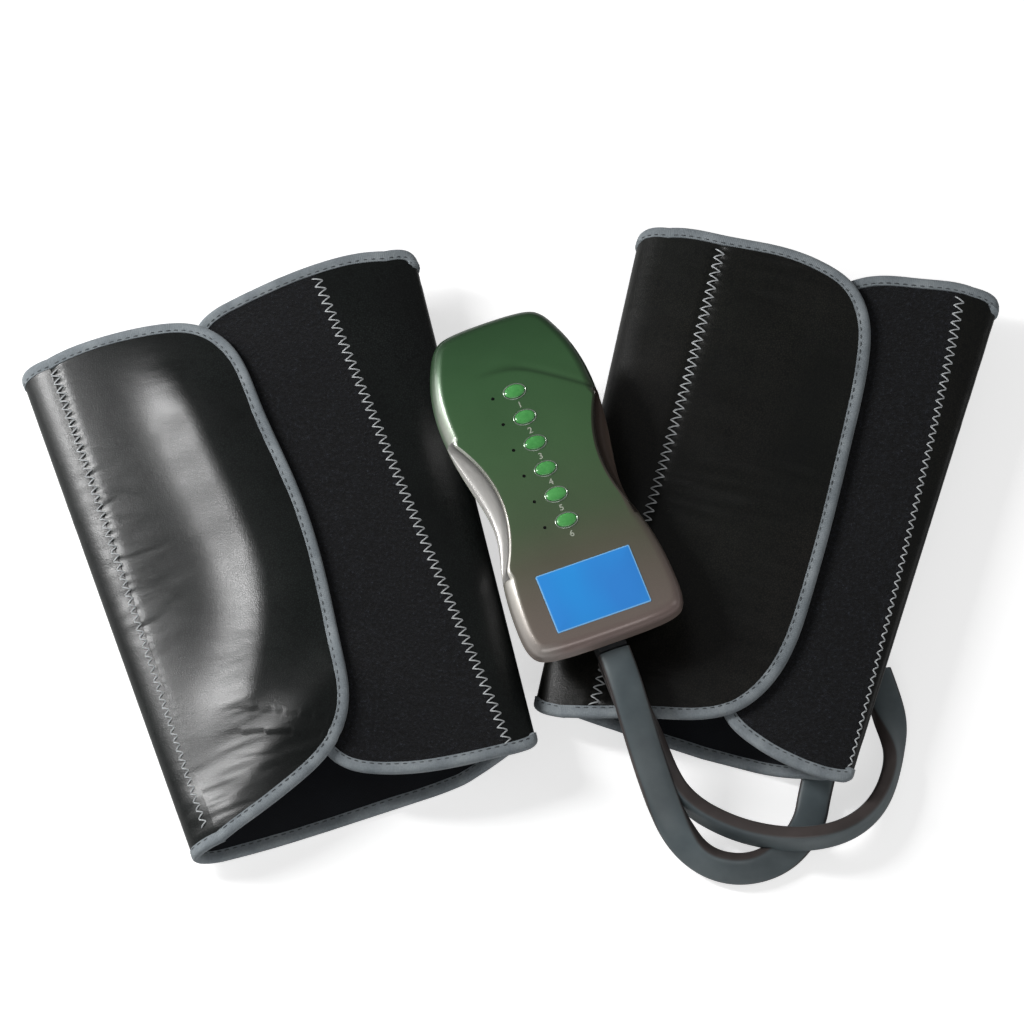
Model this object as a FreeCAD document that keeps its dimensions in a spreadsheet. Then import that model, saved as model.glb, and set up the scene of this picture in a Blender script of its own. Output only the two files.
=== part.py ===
"""Compression therapy kit: one pump controller, two wrap-round calf cuffs and two flat air hoses.

The kit lies on a flat surface at z = 0.  +X runs across both cuffs, +Y towards the cuffs' wide ends
and +Z up; the origin is under the middle of the kit's box.  All sizes are in millimetres.
"""
import FreeCAD, Part
import math
import os

from FreeCAD import Placement, Rotation, Vector

SIZES = {
    # layout on the table
    "kit_centre_x": -1.21, "kit_centre_y": -7.0,
    "case_x": 17.2, "case_y": 9.4, "case_z": 34.6, "case_turn": 20.5,
    # controller case
    "wall": 2.2, "rear_depth": 24.0, "front_depth": 10.0, "case_depth": 34.0,
    "bevel": 3.0, "underside_draw": 6.0, "end_draw": 9.7, "waist_scoop": 5.6, "waist_y": -13.5, "waist_span": 22.0,
    "half_width": 60.0, "half_length": 120.0, "grip_rise": 1.5, "grip_lead": 10.5, "grip_reach": 40.0,
    "boss_radius": 4.2, "screw_hole": 1.5, "head_hole": 3.1, "head_depth": 2.4,
    "screw_radius": 1.4, "screw_head": 2.8, "head_height": 1.6, "screw_length": 26.0,
    "boss_step": 0.6, "overlap": 0.2, "fit": 0.05, "spare": 0.3,
    "foot_radius": 4.0, "foot_height": 1.0, "grip_skin": 1.0,
    # buttons and screen
    "button_pitch": 14.67, "button_first": 46.8, "button_long": 5.1, "button_short": 3.4,
    "button_proud": 1.3, "button_travel": 0.8, "flange_margin": 0.9, "flange_height": 1.2,
    "button_play": 0.15, "rim_width": 0.75, "rim_depth": 0.8, "rim_proud": 0.4,
    "guide_radius": 0.8, "guide_x": -11.0, "guide_height": 7.9,
    "lens_x": 4.0, "lens_y": -88.6, "lens_z": 24.9, "lens_side": 2.4, "lens_long": 4.5,
    "button_x": 0.5,
    "screen_wide": 49.3, "screen_tall": 32.0, "screen_y": -65.4, "screen_ledge": 2.0,
    "window_thick": 1.0, "display_thick": 3.0, "display_margin": 2.0,
    # boards, battery and pump
    "board_thick": 1.6, "switch_board_wide": 28.0, "switch_board_long": 86.0,
    "switch_board_z": 24.4, "switch_side": 6.0, "switch_height": 3.1,
    "main_board_wide": 42.0, "main_board_long": 44.0, "main_board_z": 15.6,
    "switch_board_x": -2.0, "main_board_y": 41.5, "sensor_x": 8.0, "sensor_y": 34.0,
    "sensor_side": 8.0, "sensor_height": 4.0, "board_screw": 1.8, "board_screw_height": 1.4,
    "battery_wide": 44.0, "battery_long": 40.0, "battery_deep": 10.0,
    "battery_y": 42.5,
    "motor_radius": 9.5, "motor_long": 28.0, "motor_z": 12.6, "shaft_radius": 1.0,
    "motor_y": -10.0, "shaft_long": 30.0, "shaft_y": -30.0, "eccentric_y": -26.0, "head_y": -23.0,
    "eccentric_radius": 4.0, "eccentric_offset": 1.5, "eccentric_thick": 5.0,
    "head_wide": 26.0, "head_long": 22.0, "head_tall": 18.0, "head_bore": 7.0,
    "valve_radius": 6.0, "valve_long": 18.0, "plunger_radius": 2.0, "plunger_long": 14.0,
    "valve_bore": 2.06, "plunger_travel": 1.2,
    "manifold_wide": 50.0, "manifold_long": 11.0, "manifold_tall": 20.0, "manifold_y": -68.0,
    "valve_x": 15.0, "valve_y": -61.0, "valve_z": 10.0, "tube_x": 6.0, "tube_z": 8.0,
    "valve_floor": 2.0, "tube_long": 28.5,
    "socket_x": 17.0, "socket_y": -78.2, "socket_z": 8.0, "exit_y": -88.0, "exit_long": 16.0,
    "socket_wide": 11.0, "socket_long": 8.6, "socket_tall": 6.0, "slot_wide": 8.6, "slot_long": 7.0,
    "slot_tall": 3.0, "port_wide": 10.0, "port_long": 12.0, "port_y": -87.5, "lens_deep": 8.0, "port_tall": 5.0,
    "slot_shift": 1.5,
    "air_tube": 2.2, "air_bore": 1.2,
    "nozzle_radius": 3.6, "nozzle_bore": 2.0, "nozzle_low": 8.6, "nozzle_pitch": 9.2,
    "nozzle_x": 0.0, "nozzle_end": 94.5, "nozzle_lead": 13.5,
    "grommet_wide": 14.0, "grommet_tall": 19.0, "grommet_long": 9.0, "grommet_proud": 1.5,
    # cuffs
    "fold_depth": 14.0, "flat_share": 0.45, "wall_thick": 3.4, "skin": 1.2, "bladder_thick": 1.4,
    "lining_thick": 0.8, "fabric_thick": 0.8, "flap_low": 1.3, "flap_high": 4.3,
    "hook_low": 0.5, "binding_width": 6.0, "binding_proud": 0.3,
    "inlet_radius": 5.6, "inlet_bore": 4.0, "inlet_long": 16.0, "inlet_z": 5.7,
    "inlet_t": -116.0, "inlet_in": 4.5, "inlet_run": 20.0, "neck_step": 1.6, "neck_long": 14.0,
    "bladder_share": 0.85, "bladder_margin": 25.0, "loop_start": -0.6, "fabric_end": 0.72,
    "flap_end": 0.9, "hook_start": -0.15, "ply_gap": 0.1, "fold_trim": 0.5, "prism_tall": 70.0,
    "prism_margin": 60.0, "prism_low": -5.0,
    # hoses
    "hose_diameter": 8.6, "plug_radius": 3.9, "plug_long": 14.0, "collar_radius": 4.8,
    "collar_long": 12.0,
}

doc = FreeCAD.newDocument("CompressionKit")
sheet = doc.addObject("Spreadsheet::Sheet", "Sizes")
for row, (alias, value) in enumerate(SIZES.items(), 1):
    sheet.set("A%d" % row, alias)
    sheet.set("B%d" % row, str(value))
    sheet.setAlias("B%d" % row, alias)
doc.recompute()

PARTS = []
UP = Vector(0, 0, 1)


def size(alias):
    """The value of one cell of the sheet."""
    return float(sheet.get(alias))


def cell(expression):
    """An expression on the sheet, with each alias written as @alias."""
    return expression.replace("@", "Sizes.")


KIT = Vector(size("kit_centre_x"), size("kit_centre_y"), 0)
CASE = Placement(Vector(size("case_x"), size("case_y"), size("case_z")) - KIT,
                 Rotation(UP, size("case_turn")))


def keep(thing, label, place=None):
    """Name a finished sub-part, put it in place and list it for writing."""
    thing.Label = label
    if place is not None:
        thing.Placement = place.multiply(thing.Placement)
    PARTS.append(thing)
    return thing


# ---------------------------------------------------------------- Part primitives and booleans

def primitive(kind, name, at=(0, 0, 0), turn=None, **cells):
    """A Part primitive with its sizes bound to the sheet."""
    thing = doc.addObject("Part::" + kind, name)
    for prop, expression in cells.items():
        thing.setExpression(prop, cell(expression))
    rotation = Rotation(Vector(*turn[:3]), turn[3]) if turn else Rotation()
    thing.Placement = Placement(Vector(*at), rotation)
    return thing


def block(name, centre, wide, long, tall):
    """A box centred on a point in plan and standing on it; sizes are expressions."""
    thing = primitive("Box", name, Length=wide, Width=long, Height=tall)
    doc.recompute()
    thing.Placement.Base = Vector(centre[0] - thing.Length.Value / 2,
                                  centre[1] - thing.Width.Value / 2, centre[2])
    return thing


def rod(name, at, radius, length, along="z"):
    """A cylinder from a point along +x, +y or +z; sizes are expressions."""
    turns = {"z": None, "y": (1, 0, 0, -90), "x": (0, 1, 0, 90)}
    return primitive("Cylinder", name, at, turns[along], Radius=radius, Height=length)


def cut(name, base, tool):
    """One solid less another."""
    thing = doc.addObject("Part::Cut", name)
    thing.Base = base
    thing.Tool = tool
    return thing


def joined(name, *shapes):
    """Several solids fused into one."""
    thing = doc.addObject("Part::MultiFuse", name)
    thing.Shapes = list(shapes)
    return thing


def group(name, *shapes):
    """Separate solids of one kind, kept in one node."""
    thing = doc.addObject("Part::Compound", name)
    thing.Links = list(shapes)
    return thing


def feature(name, shape):
    """A solid made with Part's own functions."""
    thing = doc.addObject("Part::Feature", name)
    thing.Shape = shape
    return thing


# ---------------------------------------------------------------- PartDesign helpers

def new_body(name):
    """An empty body."""
    return doc.addObject("PartDesign::Body", name)


def new_sketch(body, name, curves, height="0"):
    """A sketch of closed curves on the body's XY plane, at a height given by an expression."""
    plane = next(f for f in body.Origin.OriginFeatures if f.Role == "XY_Plane")
    sketch = body.newObject("Sketcher::SketchObject", name)
    sketch.AttachmentSupport = (plane, [""])
    sketch.MapMode = "FlatFace"
    sketch.setExpression("AttachmentOffset.Base.z", cell(height))
    for curve in curves:
        sketch.addGeometry(curve, False)
    doc.recompute()
    return sketch


def pad(body, name, curves, low, height):
    """Material from a height upwards."""
    thing = body.newObject("PartDesign::Pad", name)
    thing.Profile = new_sketch(body, name + "_sketch", curves, low)
    thing.setExpression("Length", cell(height))
    doc.recompute()
    return thing


def pocket(body, name, curves, low, height):
    """A hollow from a height upwards."""
    before = body.Shape.copy()
    thing = body.newObject("PartDesign::Pocket", name)
    thing.Profile = new_sketch(body, name + "_sketch", curves, low)
    thing.Reversed = True
    thing.setExpression("Length", cell(height))
    doc.recompute()
    if before.cut(body.Shape).Volume < 1.0:
        raise ValueError(name + " cuts nothing")
    return thing


def circles(places, radius):
    """One circle at each place."""
    return [Part.Circle(Vector(x, y, 0), UP, radius) for x, y in places]


def ovals(places, long, short):
    """One oval at each place, its long axis across the case."""
    return [Part.Ellipse(Vector(x, y, 0), long, short) for x, y in places]


def rectangle(centre, wide, tall):
    """The four lines of a rectangle."""
    corners = [Vector(centre[0] + sx * wide / 2, centre[1] + sy * tall / 2, 0)
               for sx, sy in ((-1, -1), (1, -1), (1, 1), (-1, 1))]
    return [Part.LineSegment(corners[i], corners[(i + 1) % 4]) for i in range(4)]


# ---------------------------------------------------------------- controller case

# Control points of half the case's plan outline, from the top end's middle to the lower end's.
CASE_SIDE = [(0, 89.5), (20.5, 89.5), (28.3, 86), (32.5, 77.7), (36.5, 68.4), (39.5, 57.2), (41, 43),
             (40, 23.4), (36.4, 4.4), (33.1, -13.5), (35, -27.4), (38.8, -39), (41.2, -52.8),
             (42.2, -70.3), (41.5, -89), (31, -92.2), (0, -92)]
BOSSES = [(-25, 68), (25, 68), (-31, -72), (31, -72)]
BOARD_SCREWS = [(-18, 59.5), (18, 59.5), (-18, 23.5), (18, 23.5)]
FEET = [(-22, 58), (22, 58), (-28, -62), (28, -62)]


def scoop(y, depth):
    """How far the waist is drawn in at a place along the case: a bell curve about the waist."""
    return depth * math.exp(-((y - size("waist_y")) / size("waist_span")) ** 2)


def case_halves(inset, waist=0.0, end_inset=None):
    """The right and left halves of the case outline, drawn in by an inset and by the grips' scoop.

    The two ends may be drawn in by an inset of their own.
    """
    end = CASE_SIDE[0][1]
    scale = (end - (inset if end_inset is None else end_inset)) / end
    right = [Vector(x - inset - scoop(y, waist) if x else 0, y * scale, 0) for x, y in CASE_SIDE]
    left = [Vector(-p.x, p.y, 0) for p in reversed(right)]
    halves = []
    for poles in (right, left):
        curve = Part.BSplineCurve()
        curve.buildFromPoles(poles, False, 3)
        halves.append(curve)
    return halves


def case_arcs(inset, waist=0.0):
    """The same outline as a chain of tangent arcs."""
    return [arc for half in case_halves(inset, waist) for arc in half.toBiArcs(0.1)]


def button_places():
    """The six buttons in one line down the face."""
    x = size("button_x")
    return [(x, size("button_first") - i * size("button_pitch")) for i in range(6)]


def loft(body, name, kind, low, high):
    """Material or a hollow between two outlines, each given with its height."""
    ends = [new_sketch(body, "%s_end_%d" % (name, i), *end) for i, end in enumerate((low, high))]
    thing = body.newObject("PartDesign::" + kind, name)
    thing.Profile = ends[0]
    thing.Sections = [ends[1]]
    thing.Ruled = True
    doc.recompute()
    return thing


def rear_cover():
    """The lower shell, drawn in to its underside, with four screw bosses and counterbores."""
    body = new_body("rear_cover")
    draw = size("underside_draw")
    ends = size("end_draw")
    skin = size("wall")
    rest = 1 - skin / size("rear_depth")
    floor = case_halves(skin + draw * rest, 0, skin + ends * rest)
    loft(body, "rear_block", "AdditiveLoft", (case_halves(draw, 0, ends), "0"),
         (case_halves(0), "@rear_depth"))
    loft(body, "rear_hollow", "SubtractiveLoft", (floor, "@wall"), (case_halves(skin), "@rear_depth"))
    pad(body, "rear_bosses", circles(BOSSES, size("boss_radius")), "@wall", "@rear_depth - @wall")
    pocket(body, "rear_holes", circles(BOSSES, size("screw_hole")), "0", "@rear_depth")
    pocket(body, "rear_heads", circles(BOSSES, size("head_hole")), "0", "@head_depth")
    exit_hole = rectangle((size("nozzle_x"), size("exit_y")),
                          2 * (size("nozzle_radius") + size("ply_gap")), size("exit_long"))
    pocket(body, "rear_exit", exit_hole, "@nozzle_low - @nozzle_radius - @ply_gap",
           "@nozzle_pitch + 2 * (@nozzle_radius + @ply_gap)")
    port = rectangle((size("socket_x"), size("port_y")), size("port_wide"), size("port_long"))
    pocket(body, "rear_port", port, "@socket_z + (@socket_tall - @port_tall) / 2", "@port_tall")
    keep(body, "rear_cover", CASE)


def front_cover():
    """The upper shell: drawn in to the narrower face, with the openings for what it carries."""
    body = new_body("front_cover")
    face = case_halves(size("bevel"), size("waist_scoop"))
    loft(body, "front_block", "AdditiveLoft", (case_halves(0), "@rear_depth"), (face, "@case_depth"))
    inner = case_arcs(size("bevel") + size("wall"), size("waist_scoop"))
    pocket(body, "front_hollow", inner, "@rear_depth", "@front_depth - @wall")
    pad(body, "front_bosses", circles(BOSSES, size("boss_radius") - size("boss_step")),
        "@rear_depth", "@front_depth - @wall + @overlap")
    pocket(body, "front_holes", circles(BOSSES, size("screw_hole")), "@rear_depth", "@front_depth / 2")
    play = size("button_play")
    through = ovals(button_places(), size("button_long") + play, size("button_short") + play)
    pocket(body, "button_holes", through, "@case_depth - 2 * @wall", "3 * @wall")
    seat = size("button_play") + size("rim_width")
    seats = ovals(button_places(), size("button_long") + seat, size("button_short") + seat)
    pocket(body, "rim_seats", seats, "@case_depth - @rim_depth", "@wall")
    guides = [(size("guide_x"), y) for x, y in button_places()]
    pocket(body, "guide_holes", circles(guides, size("guide_radius") + size("fit")),
           "@case_depth - 2 * @wall", "3 * @wall")
    centre = (0, size("screen_y"))
    wide = size("screen_wide")
    tall = size("screen_tall")
    ledge = 2 * size("screen_ledge")
    pocket(body, "screen_hole", rectangle(centre, wide - ledge, tall - ledge),
           "@case_depth - 2 * @wall", "3 * @wall")
    pocket(body, "window_seat", rectangle(centre, wide + size("overlap"), tall + size("overlap")),
           "@case_depth - @window_thick", "@wall")
    lens_hole = rectangle((size("lens_x"), size("exit_y")), size("lens_side") + 2 * size("fit"),
                          size("lens_deep"))
    pocket(body, "lens_hole", lens_hole, "@lens_z - @fit", "@lens_side + 2 * @fit")
    keep(body, "front_cover", CASE)


def case_form(inset, levels):
    """The case's outer form between two levels of height, draw, waist scoop and draw of the ends."""
    wires = []
    for height, draw, waist, ends in levels:
        wire = Part.Wire([half.toShape() for half in case_halves(draw + inset, waist, ends + inset)])
        wire.translate(Vector(0, 0, height))
        wires.append(wire)
    return Part.makeLoft(wires, True, True)


def front_form(inset):
    """The upper shell's outer form, made larger by a negative inset."""
    bevel = size("bevel")
    return case_form(inset, ((size("rear_depth"), 0, 0, 0),
                             (size("case_depth"), bevel, size("waist_scoop"), bevel)))


def side_grips():
    """Two scooped skins on the waist, one on each side."""
    skin = front_form(-size("grip_skin")).cut(front_form(0))
    half_width = size("half_width")
    half_length = size("half_length")
    rise = size("grip_rise")
    level = Part.makeBox(2 * half_width, 2 * half_length, size("front_depth") - 2 * rise,
                         Vector(-half_width, -half_length, size("rear_depth") + rise))
    grips = []
    for sign in (-1, 1):
        middle = Vector(0, size("waist_y") + size("grip_lead"), size("rear_depth"))
        window = Part.makeCylinder(size("grip_reach"), half_width, middle, Vector(sign, 0, 0))
        grips.append(skin.common(window).common(level))
    keep(feature("side_grips", Part.makeCompound(grips)), "side_grips", CASE)


def screen():
    """The window glued in its seat and the display behind it."""
    top = size("case_depth")
    centre = (0, size("screen_y"))
    window = block("screen_window", centre + (top - size("window_thick"),),
                   "@screen_wide", "@screen_tall", "@window_thick + @overlap")
    keep(window, "screen_window", CASE)
    shelf = top - size("wall") - size("display_thick") - size("overlap")
    display = block("display_module", centre + (shelf,), "@screen_wide + @display_margin",
                    "@screen_tall + @display_margin", "@display_thick")
    keep(display, "display_module", CASE)


def buttons():
    """Six oval caps, each with a flange that keeps it under the face."""
    names = ("power", "mode", "adjust", "pressure_up", "pressure_down", "deflate")
    for name, place in zip(names, button_places()):
        body = new_body("button_" + name)
        margin = size("flange_margin")
        flange = ovals([place], size("button_long") + margin, size("button_short") + margin)
        pad(body, name + "_flange", flange, "@case_depth - @wall - @spare - @flange_height",
            "@flange_height")
        pad(body, name + "_cap", ovals([place], size("button_long"), size("button_short")),
            "@case_depth - @wall - @spare", "@wall + @spare + @button_proud")
        keep(body, "button_" + name, CASE)


def button_rims():
    """Six bright rings let into the face round the buttons."""
    rings = []
    for i, place in enumerate(button_places()):
        body = new_body("ring_%d" % i)
        curves = []
        for margin in (size("button_play") + size("rim_width"), size("button_play")):
            curves += ovals([place], size("button_long") + margin, size("button_short") + margin)
        pad(body, "ring_pad_%d" % i, curves, "@case_depth - @rim_depth", "@rim_depth + @rim_proud")
        rings.append(body)
    keep(group("button_rims", *rings), "button_rims", CASE)


def light_guides():
    """Six clear rods from the switch board to the face, and the charge light's lens."""
    base = size("switch_board_z") + size("board_thick") + size("overlap")
    rods = [rod("guide_%d" % i, (size("guide_x"), y, base), "@guide_radius", "@guide_height")
            for i, (x, y) in enumerate(button_places())]
    rods.append(block("charge_lens", (size("lens_x"), size("lens_y"), size("lens_z")),
                      "@lens_side", "@lens_long", "@lens_side"))
    keep(group("indicator_light_guides", *rods), "indicator_light_guides", CASE)


# ---------------------------------------------------------------- inside the case

def boards():
    """The switch board with its six switches, and the main board with the pressure sensor."""
    middle = size("button_first") - 2.5 * size("button_pitch")
    board = block("switch_board", (size("switch_board_x"), middle, size("switch_board_z")), 
                  "@switch_board_wide", "@switch_board_long", "@board_thick")
    keep(board, "switch_board", CASE)
    top = size("switch_board_z") + size("board_thick")
    switches = [block("switch_%d" % i, (0, y, top), "@switch_side", "@switch_side", "@switch_height")
                for i, (x, y) in enumerate(button_places())]
    keep(group("tact_switches", *switches), "tact_switches", CASE)
    main = block("main_board", (0, size("main_board_y"), size("main_board_z")), "@main_board_wide",
                 "@main_board_long", "@board_thick")
    keep(main, "main_board", CASE)
    shelf = size("main_board_z") + size("board_thick")
    sensor = block("pressure_sensor", (size("sensor_x"), size("sensor_y"), shelf), "@sensor_side",
                   "@sensor_side", "@sensor_height")
    keep(sensor, "pressure_sensor", CASE)
    battery = block("battery_pack", (0, size("battery_y"), size("wall") + size("spare")),
                    "@battery_wide", "@battery_long", "@battery_deep")
    keep(battery, "battery_pack", CASE)
    x = size("socket_x")
    y = size("socket_y")
    z = size("socket_z")
    floor = z + (size("socket_tall") - size("slot_tall")) / 2
    shell = block("socket_body", (x, y, z), "@socket_wide", "@socket_long", "@socket_tall")
    slot = block("socket_slot", (x, y - size("slot_shift"), floor), "@slot_wide", "@slot_long", "@slot_tall")
    socket = cut("charge_socket", shell, slot)
    keep(socket, "charge_socket", CASE)


def pump():
    """The motor, its shaft with the eccentric, and the pump head that the eccentric drives."""
    axis_z = size("motor_z")
    motor_y = size("motor_y")
    can = rod("motor_can", (0, motor_y, axis_z), "@motor_radius", "@motor_long", "y")
    bore = rod("motor_bore", (0, motor_y - 1, axis_z), "@shaft_radius + @fit", "@motor_long / 2 - 2", "y")
    motor = cut("pump_motor", can, bore)
    keep(motor, "pump_motor", CASE)
    shaft = rod("shaft_rod", (0, size("shaft_y"), axis_z), "@shaft_radius", "@shaft_long", "y")
    offset = size("eccentric_offset")
    disc = rod("eccentric_disc", (offset, size("eccentric_y"), axis_z), "@eccentric_radius",
               "@eccentric_thick", "y")
    keep(joined("motor_shaft", shaft, disc), "motor_shaft", CASE)
    head = block("head_block", (0, size("head_y"), axis_z - size("head_tall") / 2), "@head_wide",
                 "@head_long", "@head_tall")
    rear = size("head_y") - size("head_long") / 2 + 2
    chamber = rod("head_chamber", (0, rear, axis_z), "@head_bore", "@head_long + 1", "y")
    keep(cut("pump_head", head, chamber), "pump_head", CASE)


def valves():
    """Two solenoid valves beside each other, each with a sliding plunger."""
    bodies = []
    y = size("valve_y")
    z = size("valve_z")
    seat = y + size("valve_floor")
    for name, x in (("a", -size("valve_x")), ("b", size("valve_x"))):
        can = rod("valve_can_" + name, (x, y, z), "@valve_radius", "@valve_long", "y")
        bore = rod("valve_bore_" + name, (x, seat, z), "@valve_bore", "@valve_long", "y")
        bodies.append(cut("valve_body_" + name, can, bore))
        plunger = rod("valve_plunger_" + name, (x, seat + size("plunger_travel") + size("spare"), z),
                      "@plunger_radius", "@plunger_long", "y")
        keep(plunger, "valve_plunger_" + name, CASE)
    keep(group("valve_bodies", *bodies), "valve_bodies", CASE)


def air_path():
    """The manifold, the tubes that feed it, the two outlet nozzles and their grommet."""
    x = size("nozzle_x")
    low = size("nozzle_low")
    pitch = size("nozzle_pitch")
    manifold = size("manifold_y")
    body = block("air_manifold", (0, manifold, size("wall") + size("spare")), "@manifold_wide",
                 "@manifold_long", "@manifold_tall")
    keep(body, "air_manifold", CASE)
    tubes = []
    z = size("tube_z")
    for i, side in enumerate((-size("tube_x"), size("tube_x"))):
        start = manifold + size("manifold_long") / 2
        outer = rod("tube_outer_%d" % i, (side, start, z), "@air_tube", "@tube_long", "y")
        inner = rod("tube_inner_%d" % i, (side, start - 1, z), "@air_bore", "@tube_long + 2", "y")
        tubes.append(cut("tube_%d" % i, outer, inner))
    keep(group("inner_air_tubes", *tubes), "inner_air_tubes", CASE)
    nozzles = []
    for i in range(2):
        start = (x, -size("nozzle_end"), low + i * pitch)
        outer = rod("nozzle_outer_%d" % i, start, "@nozzle_radius",
                    "@nozzle_end + @manifold_y - @manifold_long / 2", "y")
        inner = rod("nozzle_inner_%d" % i, (start[0], start[1] - 1, start[2]), "@nozzle_bore",
                    "@nozzle_end + @manifold_y", "y")
        nozzles.append(cut("nozzle_%d" % i, outer, inner))
    keep(group("outlet_nozzles", *nozzles), "outlet_nozzles", CASE)
    end = size("grommet_proud") - CASE_SIDE[-1][1]
    collar = block("grommet_block", (x, size("grommet_long") / 2 - end,
                                     low + (pitch - size("grommet_tall")) / 2),
                   "@grommet_wide", "@grommet_long", "@grommet_tall")
    rear = case_form(0, ((0, size("underside_draw"), 0, size("end_draw")),
                         (size("rear_depth"), 0, 0, 0)))
    holes = [rod("grommet_hole_%d" % i, (x, -2 * size("grommet_long") - end, low + i * pitch),
                 "@nozzle_radius", "4 * @grommet_long", "y") for i in range(2)]
    tools = group("grommet_tools", feature("case_end", rear.fuse(front_form(0))), *holes)
    keep(cut("hose_grommet", collar, tools), "hose_grommet", CASE)


def fasteners():
    """Four case screws from below, four board screws and four feet."""
    screws = []
    for i, (x, y) in enumerate(BOSSES):
        base = size("head_depth") - size("head_height")
        head = rod("screw_head_%d" % i, (x, y, base), "@screw_head", "@head_height")
        shank = rod("screw_shank_%d" % i, (x, y, size("head_depth")), "@screw_radius", "@screw_length")
        screws.append(joined("screw_%d" % i, head, shank))
    keep(group("case_screws", *screws), "case_screws", CASE)
    shelf = size("main_board_z") + size("board_thick")
    small = [rod("board_screw_%d" % i, (x, y, shelf), "@board_screw", "@board_screw_height")
             for i, (x, y) in enumerate(BOARD_SCREWS)]
    keep(group("board_screws", *small), "board_screws", CASE)
    feet = [rod("foot_%d" % i, (x, y, -size("foot_height")), "@foot_radius", "@foot_height")
            for i, (x, y) in enumerate(FEET)]
    keep(group("rubber_feet", *feet), "rubber_feet", CASE)


# ---------------------------------------------------------------- cuffs

class Cuff:
    """One folded cuff: its place and the heights of its two walls.

    s runs across and t along the cuff.  A share f is s over the half width inside the folds.
    """

    def __init__(self, side, centre, turn, wide_end, narrow_end, levels, outlines, hinge_share):
        self.side = side
        self.place = Placement(Vector(*centre, 0) - KIT, Rotation(UP, turn))
        self.wide_end = wide_end
        self.narrow_end = narrow_end
        self.lift_left, self.lift_right, self.top_left, self.top_right, self.rise = levels
        self.back, self.loop, self.flap = outlines
        self.hinge_share = hinge_share

    def inner_half(self, t):
        """Half the width between the folds, which tapers evenly from the wide to the narrow end."""
        share = (t + CUFF_HALF) / (2 * CUFF_HALF)
        return self.narrow_end + (self.wide_end - self.narrow_end) * share - size("fold_depth")

    def floor(self, f):
        """Height of the underside: flat in the middle, then a parabola up to each fold."""
        flat = size("flat_share")
        lift = self.lift_right if f > 0 else self.lift_left
        return lift * (max(0.0, abs(f) - flat) / (1 - flat)) ** 2

    def roof(self, f):
        """Height of the loop layer: a slope between the folds plus a cubic crown."""
        slope = self.top_left + (self.top_right - self.top_left) * (f + 1) / 2
        return slope + self.rise * (1 - abs(f) ** 3)


CUFF_HALF = 137.0
REACH = CUFF_HALF + 25.0


def share_steps(first, last, count=9):
    """Evenly spaced shares."""
    return [first + (last - first) * i / (count - 1) for i in range(count)]


def curve_edge(points):
    """A smooth edge through points."""
    curve = Part.BSplineCurve()
    curve.interpolate(points)
    return curve.toShape()


def curved_span(cuff, height, first, last, low, high):
    """A sheet between two offsets of a height formula, lofted from one end of the cuff to the other."""
    wires = []
    for t in (-REACH, REACH):
        half = cuff.inner_half(t)

        def line(offset):
            return curve_edge([Vector(f * half, t, height(f) + offset) for f in share_steps(first, last)])

        below = line(low)
        above = line(high)
        start, end = [Part.makeLine(below.Vertexes[k].Point, above.Vertexes[k].Point) for k in (0, -1)]
        wires.append(Part.Wire(Part.__sortEdges__([below, end, above, start])))
    return Part.makeLoft(wires, True, True)


def level_span(cuff, first, last, low, high):
    """The flat middle of the underside: a tapered plan between two heights."""
    corners = [Vector(f * cuff.inner_half(t), t, low)
               for f, t in ((first, -REACH), (last, -REACH), (last, REACH), (first, REACH))]
    return Part.Face(Part.makePolygon(corners + corners[:1])).extrude(Vector(0, 0, high - low))


def wall(cuff, height, first, last, low, high, breaks=()):
    """A sheet along the cuff over a span of shares; it is level between the breaks, if it has any."""
    stops = [first] + [b for b in breaks if first < b < last] + [last]
    spans = []
    for a, b in zip(stops, stops[1:]):
        if breaks and max(abs(a), abs(b)) <= size("flat_share"):
            spans.append(level_span(cuff, a, b, low, high))
        else:
            spans.append(curved_span(cuff, height, a, b, low, high))
    return spans[0].multiFuse(spans[1:]) if len(spans) > 1 else spans[0]


def fold(cuff, sign, top_offset):
    """A half-elliptic turn that carries the back panel up into the top wall on one side."""
    depth = size("fold_depth")
    thick = size("wall_thick")
    low = cuff.floor(sign)
    high = cuff.roof(sign) + top_offset
    middle = (low + high) / 2
    wires = []
    for t in (-REACH, REACH):
        half = cuff.inner_half(t)

        def arc(shrink):
            return curve_edge([Vector(sign * (half + (depth - shrink) * math.cos(a)), t,
                                      middle + ((high - low) / 2 - shrink) * math.sin(a))
                               for a in [math.radians(-90 + 22.5 * i) for i in range(9)]])

        outer = arc(0)
        inner = arc(thick)
        caps = [Part.makeLine(outer.Vertexes[k].Point, inner.Vertexes[k].Point) for k in (0, -1)]
        wires.append(Part.Wire(Part.__sortEdges__([outer, caps[1], inner, caps[0]])))
    return Part.makeLoft(wires, True, True)


def inset(points, distance):
    """An open run of plan points moved to its right by a distance."""
    moved = []
    for i, (x, y) in enumerate(points):
        a = points[max(i - 1, 0)]
        b = points[min(i + 1, len(points) - 1)]
        run = math.hypot(b[0] - a[0], b[1] - a[1])
        moved.append((x + distance * (b[1] - a[1]) / run, y - distance * (b[0] - a[0]) / run))
    return moved


def plan_prism(edge, closing):
    """A tall prism over a smooth free edge closed by straight lines through more points."""
    low = size("prism_low")
    free = curve_edge([Vector(x, y, low) for x, y in edge])
    rest = [edge[-1]] + list(closing) + [edge[0]]
    lines = [Part.makeLine(Vector(*a, low), Vector(*b, low)) for a, b in zip(rest, rest[1:])]
    face = Part.Face(Part.Wire(Part.__sortEdges__([free] + lines)))
    return face.extrude(Vector(0, 0, size("prism_tall")))


def closing_points(cuff, side, margin=40.0):
    """Corners well outside the cuff on one side, which close a free edge that starts there."""
    x = side * (cuff.wide_end + margin)
    y = side * (REACH - 8)
    return [(x, y), (x, -y)]


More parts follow.
